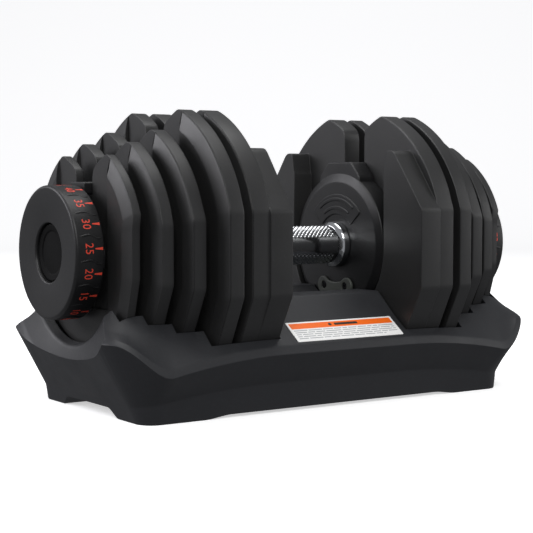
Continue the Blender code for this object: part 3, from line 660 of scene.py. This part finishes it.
def dial_print(side, settings):
    """The numbers and ticks of one dial, bent round its band."""
    turn = 2 * math.pi / settings.settings
    bm = bmesh.new()
    for step in range(settings.settings):
        top = (step - settings.at_rest) * turn
        mesh = number_mesh(str(settings.lowest + step * settings.between), settings.digit_height)
        flat = np.empty(len(mesh.vertices) * 3)
        mesh.vertices.foreach_get("co", flat)
        flat = flat.reshape(-1, 3)
        flat[:, 1] -= settings.digit_height / 2
        along = DIAL_FACE_X - 11.4 * MM - flat[:, 1]
        bent = on_band(along, top - flat[:, 0] * 0.9 / DIAL_RADIUS, flat[:, 2] - 0.02 * MM)
        mesh.vertices.foreach_set("co", (bent * (side, 1.0, 1.0) + (0.0, 0.0, AXIS_Z)).ravel())
        bm.from_mesh(mesh)
        bpy.data.meshes.remove(mesh)
        bm.from_mesh(end_mesh("tick", side, [tick_shell(top)]))
    bmesh.ops.remove_doubles(bm, verts=bm.verts, dist=0.0005 * MM)
    bmesh.ops.recalc_face_normals(bm, faces=bm.faces)
    printed = bpy.data.meshes.new("dial_print")
    bm.to_mesh(printed)
    bm.free()
    return printed


def tick_shell(top):
    """A tapered mark behind a number: half width 0.45 mm at the number's end and 1.1 mm at the plates' end."""
    u = np.linspace(0.0, 1.0, 6)[:, None]
    across = np.array([-1.0, 1.0, 1.0, -1.0])[None, :]
    height = np.array([-0.4, -0.4, 0.08, 0.08])[None, :] * MM
    along = (DIAL_FACE_X - 16.0 * MM - 6.2 * MM * u) * np.ones_like(across)
    half = (0.45 + 0.65 * u**1.3) * MM
    return skin(on_band(along, top + across * half / DIAL_RADIUS, height * np.ones_like(u)))


def rib_shell(middle):
    """A grip rib between two numbers: an S along the band, 1.3 mm wide with a round top 0.45 mm high."""
    u = np.linspace(0.0, 1.0, 28)[:, None]
    v = np.linspace(0.0, 2 * math.pi, 14, endpoint=False)[None, :]
    along = DIAL_FACE_X - 4.2 * MM - 17.6 * MM * u + 0 * v
    sway = 0.045 * np.sin(2 * math.pi * (u - 0.1)) * u
    swell = np.sqrt(np.clip(1 - (2 * u - 1) ** 6, 0.0, 1.0)) + 0.02
    return skin(on_band(along, middle + sway + 0.65 * MM * swell * np.cos(v) / DIAL_RADIUS,
                        0.45 * MM * swell * np.sin(v)))


class DUMBBELL_OT_dials(bpy.types.Operator):
    """Add the two dials with their caps, numbers and grip ribs, and finish the selector discs"""

    bl_idname = "dumbbell.dials"
    bl_label = "Dials"

    def execute(self, context):
        settings = context.scene.dumbbell_dials
        turn = 2 * math.pi / settings.settings
        drum = np.array([
            (191.7, 8.3), (191.7, 13.0), (192.5, 13.0), (192.5, 52.0), (214.6, 52.0), (216.0, 50.4),
            (215.7, 46.0), (214.2, 23.6), (213.0, 23.0), (202.0, 23.0), (202.0, 8.3),
        ]) * MM
        cap = np.array([
            (209.2, 0.0), (209.2, 20.0), (202.3, 20.0), (202.3, 22.7), (210.8, 22.7), (211.8, 21.4),
            (211.0, 17.4), (210.3, 16.6), (211.0, 0.0),
        ]) * MM
        for side_name, side in SIDES.items():
            body = body_of(frame["nodes"][f"{side_name}_dial"])[0]
            drum_reach = np.array([0, 0, 0, 1, 0.8, 0.8, 1, 0.8, 0.5, 0.5, 0]) * MM
            shells = [turned(drum, 256, reach=drum_reach, closed=True)]
            shells += [rib_shell((i + 0.5) * turn) for i in range(settings.settings)]
            mesh = end_mesh(f"{side_name}_dial", side, shells)
            piece(f"{side_name}_dial_drum", mesh, look("satin_black_nylon"), body,
                  [f"{side_name}_dial"])
            cap_shell = turned(cap, 192, reach=np.array([0, 0, 0, 0, .6, .5, .5, .5, 0]) * MM)
            cap_mesh = end_mesh("cap", side, [cap_shell])
            # The cup's near-black finish is painted shade for the dial's recessed middle.
            piece(f"{side_name}_dial_cup", cap_mesh, look("black_rubber_cup"), body,
                  [f"{side_name}_dial_cap"])
            piece(f"{side_name}_dial_numbers", dial_print(side, settings), look("red_pad_print"), body)
            repaint("selector_disc", "glass_filled_nylon",
                    *[f"{side_name}_selector_disc_{number}" for number in PLATES])
        return {"FINISHED"}


# ---------------------------------------------------------------- guards


def sector_outline(inner, outer, half_angle, rounding):
    """A band of a ring about the top: an arc out at one radius and back at the other, with rounded corners."""
    runs = []
    for radius in (outer, inner):
        trim = 2.4 * rounding / radius
        middle = np.linspace(trim - half_angle, half_angle - trim, 30)
        runs.append(polar(radius, np.concatenate([[-half_angle], middle, [half_angle]]) + math.pi / 2))
    outline = np.vstack([runs[0], runs[1][::-1]])
    reach = np.full(len(outline), 0.1 * MM)
    reach[[0, 31, 32, 63]] = rounding
    return fillet(outline, reach, steps=4, closed=True)


def kidney_outline():
    """The lock cover: two round ends, a waist bent round the grip, and a rounded underside."""
    ends, centre = 7.6 * MM, 16.6 * MM
    lobe = polar(ends, np.radians(np.linspace(-95, 112, 30))) + (centre, 0.0)
    waist_y = np.linspace(9.0, 0.0, 9)[:-1] * MM
    dip = 4.0 * MM - 1.1 * MM * np.cos(waist_y / (9.0 * MM) * math.pi / 2)
    waist = np.stack([waist_y, dip], axis=-1)
    under = np.array([(0.0, -13.2), (5.0, -12.8), (10.5, -10.6)]) * MM
    half = np.vstack([under, lobe, waist])
    return both_halves(half)[:-1] + (0.0, COVER_Z)


def guard_shells():
    """The hand guard: a chamfered disc and the hood over it, before the opening at the back for the lock is
    cut.
    """
    inner, outer = GUARD_X
    disc = np.array([(inner, AXLE_RADIUS), (inner, GUARD_RADIUS - 7.0 * MM), (inner + 2.6 * MM, GUARD_RADIUS),
                     (outer, GUARD_RADIUS), (outer, AXLE_RADIUS)])
    reach = np.array([0.0, 1.0, 1.0, 0.8, 0.0]) * MM
    hood = np.array([
        (-30.0, 48.0), (30.0, 48.0), (28.0, 60.0), (16.0, 72.0), (-16.0, 72.0), (-28.0, 60.0),
    ]) * MM
    return (turned(disc, 192, reach=reach, closed=True),
            prism(fillet(hood, 2.0 * MM, closed=True), inner + 2.6 * MM, outer, 1.2 * MM))


class DUMBBELL_OT_guards(bpy.types.Operator):
    """Add the hand guards, lock covers, their screws and the guide bars, and finish the locks"""

    bl_idname = "dumbbell.guards"
    bl_label = "Guards"

    def execute(self, context):
        inner, outer = GUARD_X
        pocket = fillet(np.array([
            (-29, -36), (-5, -36), (-5, -64), (5, -64), (5, -36), (29, -36), (29, 41), (-29, 41),
        ]) * MM, 0.8 * MM, steps=3, closed=True)
        panel = sector_outline(26.5 * MM, 44.0 * MM, math.radians(50), 2.0 * MM)
        bars = [sector_outline(radius * MM, (radius + 2.4) * MM, math.radians(half), 1.0 * MM)
                for radius, half in ((38.4, 37), (31.0, 33))]
        bar_section = np.array([(-12, 44.6), (12, 44.6), (12, 54.6), (-12, 54.6)]) * MM
        bar_section = fillet(bar_section, 2.0 * MM, closed=True)
        for side_name, side in SIDES.items():
            body = body_of(frame["nodes"][f"{side_name}_hand_guard"])[0]
            disc, hood = guard_shells()
            room = prism(pocket, 70.5 * MM, outer + 2 * MM, 0.1 * MM, 0.1 * MM)
            window = block((inner - 1 * MM, -6 * MM, COVER_Z - 7 * MM), (71.5 * MM, 6 * MM, COVER_Z + 1 * MM))
            holes = [turned([(56 * MM, 0), (56 * MM, 1.9 * MM), (71.5 * MM, 1.9 * MM), (71.5 * MM, 0)], 32,
                            (y, COVER_Z)) for y in (-SCREW_Y, SCREW_Y)]
            cuts = [at_end(shell, side) for shell in (room, window, *holes)]
            solid = carve(end_mesh("guard_disc", side, [disc]), cuts)
            top = carve(end_mesh("guard_hood", side, [hood]), cuts[:1])
            bm = bmesh.new()
            for part in (solid, top):
                bm.from_mesh(part)
                bpy.data.meshes.remove(part)
            bmesh.ops.holes_fill(bm, edges=[edge for edge in bm.edges if edge.is_boundary], sides=4)
            raised = [prism(panel, inner - 0.9 * MM, inner + 0.5 * MM, 0.5 * MM, 0.3 * MM)]
            raised += [prism(bar, inner - 1.5 * MM, inner + 0.5 * MM, 0.25 * MM, 0.1 * MM) for bar in bars]
            bm.from_mesh(end_mesh("panel", side, raised))
            mesh = bpy.data.meshes.new("guard")
            bm.to_mesh(mesh)
            bm.free()
            piece(f"{side_name}_guard", mesh, look("satin_black_nylon"), body,
                  [f"{side_name}_hand_guard"])
            wells = [turned([(x * MM, r * MM) for x, r in ((55, 0), (55, 3.5), (62.6, 3.5), (62.6, 1.9),
                                                          (70, 1.9), (70, 0))], 48, (y, COVER_Z))
                     for y in (-SCREW_Y, SCREW_Y)]
            cover = prism(kidney_outline(), inner - 2.9 * MM, inner - 0.3 * MM, 0.9 * MM, 0.4 * MM)
            mesh = carve(end_mesh("cover", side, [cover]), [at_end(well, side) for well in wells])
            piece(f"{side_name}_cover", mesh, look("matt_grey_cover"), body,
                  [f"{side_name}_lock_cover"])
            for place, y in (("front", -SCREW_Y), ("rear", SCREW_Y)):
                head = turned([(x * MM, r * MM) for x, r in (
                    (61.9, 0), (61.9, 1.1), (61.2, 1.3), (61.2, 2.4), (61.7, 3.0), (62.3, 3.0), (62.3, 1.5),
                    (69.0, 1.5), (69.0, 0),
                )], 48, (y, COVER_Z))
                piece(f"{side_name}_screw_{place}", end_mesh("screw", side, [head]),
                      look("black_oxide_screw"), body, [f"{side_name}_cover_screw_{place}"])
            bar = prism(bar_section, outer + 0.3 * MM, 189.0 * MM, 1.0 * MM)
            piece(f"{side_name}_bar", end_mesh("bar", side, [bar]), look("satin_black_nylon"), body,
                  [f"{side_name}_guide_bar"])
            repaint("steel", "zinc_plate", f"{side_name}_lock_slider", f"{side_name}_lock_spring",
                    f"{side_name}_end_nut")
        return {"FINISHED"}


# ---------------------------------------------------------------- grip


def knurled_tube(settings):
    """The grip: r(x, a) = R + (d - 0.35) h, where h is the knurling's depth and d runs from 0 in a groove to 1.

    d is 2.2 times the lesser of the zigzags |tri(p + q)| and |tri(p - q)|, at most 1, where p and q count
    diamonds along the grip and round it. Lanes at the front and rear stay smooth, and the knurling fades out
    at their edges and at the ends.
    """
    radius = GRIP_RADIUS
    around = round(2 * math.pi * radius / settings.pitch / 2) * 2
    x = np.linspace(-GRIP_END_X, GRIP_END_X, 330)[:, None]
    a = np.linspace(0.0, 2 * math.pi, around * 5, endpoint=False)[None, :]
    p, q = x / settings.pitch, a * around / (2 * math.pi)
    first = np.abs(((p + q) / 2) % 1 * 2 - 1)
    second = np.abs(((p - q) / 2) % 1 * 2 - 1)
    diamonds = np.minimum(np.minimum(first, second) * 2.2, 1.0)
    lane = np.clip((np.abs(np.sin(a)) - 0.42) / 0.06, 0.0, 1.0)
    ends = np.clip((GRIP_END_X - 3 * MM - np.abs(x)) / (1 * MM), 0.0, 1.0)
    r = radius + (diamonds - 0.35) * settings.depth * lane * ends
    grid = np.stack([x + 0 * a, r * np.cos(a), r * np.sin(a)], axis=-1)
    bore = AXLE_RADIUS + 0 * r
    inside = np.stack([x + 0 * a, bore * np.cos(a), bore * np.sin(a)], axis=-1)
    ring = np.concatenate([inside[:1], grid, inside[-1:], inside[:1]])
    return skin(ring, caps=False)


class DUMBBELL_OT_grip(bpy.types.Operator):
    """Add the knurled chrome grip and its flared collars, and finish the axle"""

    bl_idname = "dumbbell.grip"
    bl_label = "Grip"

    def execute(self, context):
        settings = context.scene.dumbbell_grip
        mesh = end_mesh("grip", 1, [knurled_tube(settings)])
        piece("grip", mesh, look("chrome_plate"), body_of(frame["nodes"]["grip_tube"])[0],
              ["grip_tube"], angle=60.0)
        collar = np.array([
            (54.4, 8.3), (54.4, 16.5), (55.0, 17.2), (57.6, 19.9), (63.7, 20.0), (63.7, 8.3),
        ]) * MM
        for side_name, side in SIDES.items():
            node = f"{side_name}_grip_collar"
            shell = turned(collar, 192, reach=np.array([0, 0.4, 0.6, 1.2, 0.6, 0]) * MM, closed=True)
            piece(f"{side_name}_collar", end_mesh(node, side, [shell]), look("chrome_plate"),
                  body_of(frame["nodes"][node])[0], [node])
        repaint("steel", "zinc_plate", "axle_rod")
        return {"FINISHED"}


# ---------------------------------------------------------------- tray


def rounded_plan(half_x, half_y, corner, long=120, short=36, bend=14):
    """A rounded rectangle in plan, with the same number of points on every ring's straights and corners."""
    cx, cy = half_x - corner, half_y - corner
    sides = []
    for quarter, (sx, sy) in enumerate(((1, 1), (-1, 1), (-1, -1), (1, -1))):
        angles = np.linspace(quarter, quarter + 1, bend) * math.pi / 2
        sides.append(polar(corner, angles) + (sx * cx, sy * cy))
        count = long if quarter % 2 == 0 else short
        start = sides[-1][-1]
        stop = start * ((-1.0, 1.0) if quarter % 2 == 0 else (1.0, -1.0))
        sides.append(np.linspace(start, stop, count + 2)[1:-1])
    return np.vstack(sides)


def arched(x, middle, drop):
    """A height that is level for 60 mm either way and then falls with the square of the distance."""
    return middle - drop * (np.maximum(0.0, np.abs(x) - 60 * MM) / (105 * MM)) ** 2


def eased(x, start, stop):
    """0 before start and 1 after stop, with the cubic t^2 (3 - 2t) between."""
    t = np.clip((np.abs(x) - start) / (stop - start), 0.0, 1.0)
    return t * t * (3 - 2 * t)


def arch_below(half, ends, rise, half_length, along_x=False):
    """A low arch through the underside: it rises by t^2 (3 - 2t) over each end of its width."""
    across = np.linspace(-half, half, 81)
    roof = rise * (1 - eased(across, half - ends, half)) + 0.02 * MM
    across = np.concatenate([across, [half, -half]])
    roof = np.concatenate([roof, [-1 * MM, -1 * MM]])
    grid = np.empty((2, len(across), 3))
    grid[..., 1 if along_x else 0] = across
    grid[..., 0 if along_x else 1] = np.array([[-half_length], [half_length]])
    grid[..., 2] = roof
    return skin(grid)


def ring_at(plan, height):
    """A plan lifted to a height that may differ from point to point."""
    return np.column_stack([plan, height * np.ones(len(plan))])


def tray_rings(settings):
    """The tray's outside from the floor up: foot, crease, flared edge, lip, deck and top."""
    foot = rounded_plan(179 * MM, 87.5 * MM, 14 * MM)
    crease = rounded_plan(183 * MM, 90.0 * MM, 22 * MM)
    edge = rounded_plan(210 * MM, 107 * MM, 44 * MM)
    lip = rounded_plan(206.8 * MM, LIP_Y, 42 * MM)
    slope = rounded_plan(204 * MM, SLOPE_Y, 34 * MM)
    top = rounded_plan(193 * MM, 60 * MM, 22 * MM)
    lift = eased(edge[:, 0], 164 * MM, 205 * MM)
    edge_z = arched(edge[:, 0], EDGE_Z, 11 * MM) * (1 - lift) + 62 * MM * lift
    slope_z = SLOPE_Z + 3 * MM * eased(slope[:, 0], 150 * MM, 205 * MM)
    return np.stack([
        ring_at(rounded_plan(160 * MM, 76 * MM, 10 * MM), 0.0),
        ring_at(foot, 0.0),
        ring_at(crease, arched(crease[:, 0], 24 * MM, 8 * MM)),
        ring_at(edge, edge_z),
        ring_at(lip, edge_z + settings.lip * (1 - 0.5 * lift)),
        ring_at(slope, slope_z),
        ring_at(top, DECK_TOP_Z),
        ring_at(rounded_plan(180 * MM, 50 * MM, 16 * MM), DECK_TOP_Z),
    ])


def tray_cuts(settings):
    """What is taken from the tray: plates' pockets, dials' scoops, the hand's trough and the arches below."""
    cuts = []
    pockets = {5: (62.8, 105.0), 4: (104.8, 125.6), 3: (125.4, 149.4), 2: (149.2, 170.2), 1: (170.0, 189.2)}
    scoop = np.array([(187.5, 0.0), (187.5, 70.0), (196.5, 72.5), (203.5, 94.5), (224.0, 118.0), (224.0, 0.0)])
    for side in SIDES.values():
        for number, (low, high) in pockets.items():
            radius, half_width, flat = (value * MM + settings.clearance for value in PLATES[number][:3])
            half_width = 115.6 * MM if number == 5 else half_width
            lower = polar(radius, LOWER_FACETS)
            half = np.vstack([lower, [(half_width, -flat), (half_width, 40 * MM)]])
            outline = fillet(both_halves(half), 1.2 * MM, steps=4, closed=True)
            cuts.append(at_end(prism(outline, low * MM, high * MM, 0.05 * MM, 0.05 * MM), side))
        shell = turned(scoop * MM, 160, reach=np.array([0, 1.5, 3.0, 3.0, 0, 0]) * MM)
        cuts.append(at_end(shell, side))
    trough = np.array([(-63.5, 0.0), (-63.5, 49.5), (63.5, 49.5), (63.5, 0.0)]) * MM
    cuts.append(at_end(turned(trough, 160), 1))
    cuts.append(arch_below(128 * MM, 26 * MM, 2.6 * MM, 120 * MM))
    cuts.append(arch_below(48 * MM, 14 * MM, 8.0 * MM, 230 * MM, along_x=True))
    return cuts


class DUMBBELL_OT_tray(bpy.types.Operator):
    """Add the storage tray"""

    bl_idname = "dumbbell.tray"
    bl_label = "Tray"

    def execute(self, context):
        settings = context.scene.dumbbell_tray
        rings = tray_rings(settings)
        grid = fillet(rings, np.array([0, 1.2, 1.2, 0.6, 1.4, 6.0, 2.5, 0]) * MM)
        mesh = carve(mesh_from("tray", [skin(grid)]), tray_cuts(settings))
        bm = bmesh.new()
        bm.from_mesh(mesh)
        post = block((POST_X[0], -POST_HALF, 5 * MM), (POST_X[1], POST_HALF, POST_TOP_Z))
        for side in SIDES.values():
            bm.from_mesh(mesh_from("post", [at_end(post, side, raised=False)]))
        bm.to_mesh(mesh)
        bm.free()
        piece("tray", mesh, look("grained_charcoal_tray"), body_of(frame["nodes"]["tray_shell"])[0],
              ["tray_shell"], angle=28.0)
        return {"FINISHED"}


# ---------------------------------------------------------------- label


def on_deck(settings, flat, lift):
    """Places points of the label's own plane (along, up the slope) on the tray's front deck, lifted off it."""
    low = np.array((-LIP_Y, EDGE_Z + settings.lip))
    high = np.array((-SLOPE_Y, SLOPE_Z))
    up = (high - low) / np.linalg.norm(high - low)
    out = np.array((-up[1], up[0]))
    middle = low + (high - low) * 0.56
    lift = lift * np.ones(flat.shape[:-1])
    yz = middle + flat[..., 1:] * up + lift[..., None] * out
    return np.concatenate([flat[..., :1] + 3.5 * MM, yz], axis=-1)


def film(settings, outline, low, high):
    """A flat shape on the label: its outline at two heights above the deck, closed as a thin slab."""
    grid = np.stack([on_deck(settings, outline, low), on_deck(settings, outline, high)])
    return skin(grid)


def panel_outline(x0, x1, y0, y1, corner=0.3 * MM):
    """A rectangle with slightly rounded corners."""
    return fillet(np.array([(x0, y0), (x1, y0), (x1, y1), (x0, y1)]), corner, steps=4, closed=True)


class DUMBBELL_OT_label(bpy.types.Operator):
    """Add the printed label on the tray's front deck, with plain shapes in place of words"""

    bl_idname = "dumbbell.label"
    bl_label = "Label"

    def execute(self, context):
        settings = context.scene.dumbbell_tray
        body = body_of(frame["nodes"]["information_label"])[0]
        half_x, half_y = 53 * MM, 11.5 * MM
        sheet = [film(settings, panel_outline(-half_x, half_x, -half_y, half_y, 1 * MM), 0.0, 0.45 * MM)]
        band = [film(settings, panel_outline(-half_x + 2 * MM, half_x - 2 * MM, 3.4 * MM, 9.9 * MM),
                     0.40 * MM, 0.50 * MM)]
        lines, generator = [], np.random.default_rng(5)
        for row in range(5):
            y = (1.4 - 2.35 * row) * MM
            start = -half_x + 3 * MM
            stop = half_x - (3 if row < 4 else 16) * MM
            while start < stop:
                end = min(stop, start + generator.uniform(4, 15) * MM)
                lines.append(film(settings, panel_outline(start, end, y - 0.45 * MM, y + 0.45 * MM, 0.2 * MM),
                                  0.40 * MM, 0.49 * MM))
                start = end + 1.3 * MM
        dot = polar(1.6 * MM, np.linspace(0.0, 2 * math.pi, 32, endpoint=False)) + (-11.8 * MM, 6.7 * MM)
        bar = panel_outline(-7.5 * MM, 16 * MM, 5.4 * MM, 8.0 * MM, 0.8 * MM)
        marks = [film(settings, shape, 0.46 * MM, 0.53 * MM) for shape in (dot, bar)]
        piece("label_sheet", mesh_from("sheet", sheet), look("white_film"), body,
              ["information_label"])
        piece("label_band", mesh_from("band", band), look("orange_print"), body)
        piece("label_lines", mesh_from("lines", lines), look("grey_print"), body)
        piece("label_sign", mesh_from("sign", marks), look("black_print"), body)
        return {"FINISHED"}


# ---------------------------------------------------------------- stage


def area_light(name, place, aim, size, power, colour="#ffffff"):
    """A soft rectangular light at a place, turned to face a point."""
    data = bpy.data.lights.new(name, "AREA")
    data.shape = "RECTANGLE"
    data.size, data.size_y = size
    data.energy = power
    data.color = linear(colour)[:3]
    lamp = bpy.data.objects.new(name, data)
    lamp.location = place
    lamp.rotation_euler = (Vector(aim) - Vector(place)).to_track_quat("-Z", "Y").to_euler()
    bpy.context.scene.collection.objects.link(lamp)


class DUMBBELL_OT_stage(bpy.types.Operator):
    """Add the pale floor and backdrop, the soft lights and the camera"""

    bl_idname = "dumbbell.stage"
    bl_label = "Stage"

    def execute(self, context):
        scene, settings = context.scene, context.scene.dumbbell_stage
        turn = settings.azimuth
        radius, reach = 1.2, 2.6
        bend = np.linspace(0.0, math.pi / 2, 24)
        curve = np.stack([reach + radius * np.sin(bend), radius * (1 - np.cos(bend))], axis=-1)
        profile = np.vstack([[(-5.0, 0.0)], curve, [(reach + radius, 5.0)]])
        across = np.linspace(-6.0, 6.0, 3)
        grid = np.empty((len(profile), len(across), 3))
        grid[..., 0] = across * math.cos(turn) - profile[:, :1] * math.sin(turn)
        grid[..., 1] = across * math.sin(turn) + profile[:, :1] * math.cos(turn)
        grid[..., 2] = profile[:, 1:]
        index = np.arange(grid.shape[0] * 3).reshape(-1, 3)
        quads = np.stack([index[:-1, :-1], index[:-1, 1:], index[1:, 1:], index[1:, :-1]], axis=-1)
        mesh = bpy.data.meshes.new("backdrop")
        mesh.from_pydata(grid.reshape(-1, 3), [], quads.reshape(-1, 4).tolist())
        mesh.shade_smooth()
        paper = printed_ink("white_paper", linear("#f4f4f4"), 0.9)
        glow = paper.node_tree.nodes["Principled BSDF"]
        glow.inputs["Emission Color"].default_value = linear("#ffffff")
        glow.inputs["Emission Strength"].default_value = 0.55
        mesh.materials.append(paper)
        backdrop = bpy.data.objects.new("backdrop", mesh)
        backdrop.visible_diffuse = backdrop.visible_glossy = False
        scene.collection.objects.link(backdrop)

        world = bpy.data.worlds.new("studio")
        world.use_nodes = True
        sky = world.node_tree.nodes["Background"]
        sky.inputs["Color"].default_value = linear("#f2f3f8")
        sky.inputs["Strength"].default_value = 0.28
        scene.world = world
        aim = (0.0, 0.0, 0.11)
        area_light("left_softbox", (-1.7, 1.1, 1.05), aim, (1.9, 1.0), 30.0, "#fbfaff")
        area_light("key", (-1.0, -1.9, 1.9), aim, (1.4, 1.0), 38.0)
        area_light("top", (0.1, 0.2, 2.0), aim, (1.8, 1.2), 22.0)
        area_light("right_fill", (1.9, -1.2, 0.7), aim, (0.8, 1.4), 9.0)
        scene.view_settings.view_transform = "Standard"

        data = bpy.data.cameras.new("camera")
        data.sensor_width = 36.0
        data.lens = settings.lens
        data.clip_start, data.clip_end = 0.05, 50.0
        camera = bpy.data.objects.new("camera", data)
        level, rise = math.cos(settings.elevation), math.sin(settings.elevation)
        back = Vector((math.sin(turn) * level, -math.cos(turn) * level, rise))
        target = Vector((-0.01076, 0.0, 0.10907))
        camera.location = target + back * settings.distance
        camera.rotation_mode = "QUATERNION"
        camera.rotation_quaternion = (-back).to_track_quat("-Z", "Y")
        scene.collection.objects.link(camera)
        scene.camera = camera
        return {"FINISHED"}


# ---------------------------------------------------------------- add-on


class DUMBBELL_PT_panel(bpy.types.Panel):
    """Lists the dumbbell's pieces in the order they are built"""

    bl_idname = "DUMBBELL_PT_panel"
    bl_label = "Adjustable Dumbbell"
    bl_space_type = "VIEW_3D"
    bl_region_type = "UI"
    bl_category = "Dumbbell"

    def draw(self, context):
        column = self.layout.column(align=True)
        for operator in OPERATORS:
            column.operator(operator.bl_idname)
        for name, group in GROUPS.items():
            box = self.layout.box()
            box.label(text=group.__doc__)
            for entry in group.__annotations__:
                box.prop(getattr(context.scene, name), entry)


OPERATORS = (DUMBBELL_OT_tray, DUMBBELL_OT_label, DUMBBELL_OT_plates, DUMBBELL_OT_dials, DUMBBELL_OT_guards,
             DUMBBELL_OT_grip, DUMBBELL_OT_stage)
GROUPS = {
    "dumbbell_plates": PlateSettings,
    "dumbbell_dials": DialSettings,
    "dumbbell_grip": GripSettings,
    "dumbbell_tray": TraySettings,
    "dumbbell_stage": StageSettings,
}


def register():
    for made in (*GROUPS.values(), *OPERATORS, DUMBBELL_PT_panel):
        bpy.utils.register_class(made)
    for name, group in GROUPS.items():
        setattr(bpy.types.Scene, name, bpy.props.PointerProperty(type=group))


def unregister():
    for name in GROUPS:
        delattr(bpy.types.Scene, name)
    for made in reversed((*GROUPS.values(), *OPERATORS, DUMBBELL_PT_panel)):
        bpy.utils.unregister_class(made)


def main():
    """Builds the whole scene."""
    register()
    bpy.ops.dumbbell.tray()
    bpy.ops.dumbbell.label()
    bpy.ops.dumbbell.plates()
    bpy.ops.dumbbell.dials()
    bpy.ops.dumbbell.guards()
    bpy.ops.dumbbell.grip()
    bpy.ops.dumbbell.stage()


if __name__ == "__main__":
    main()
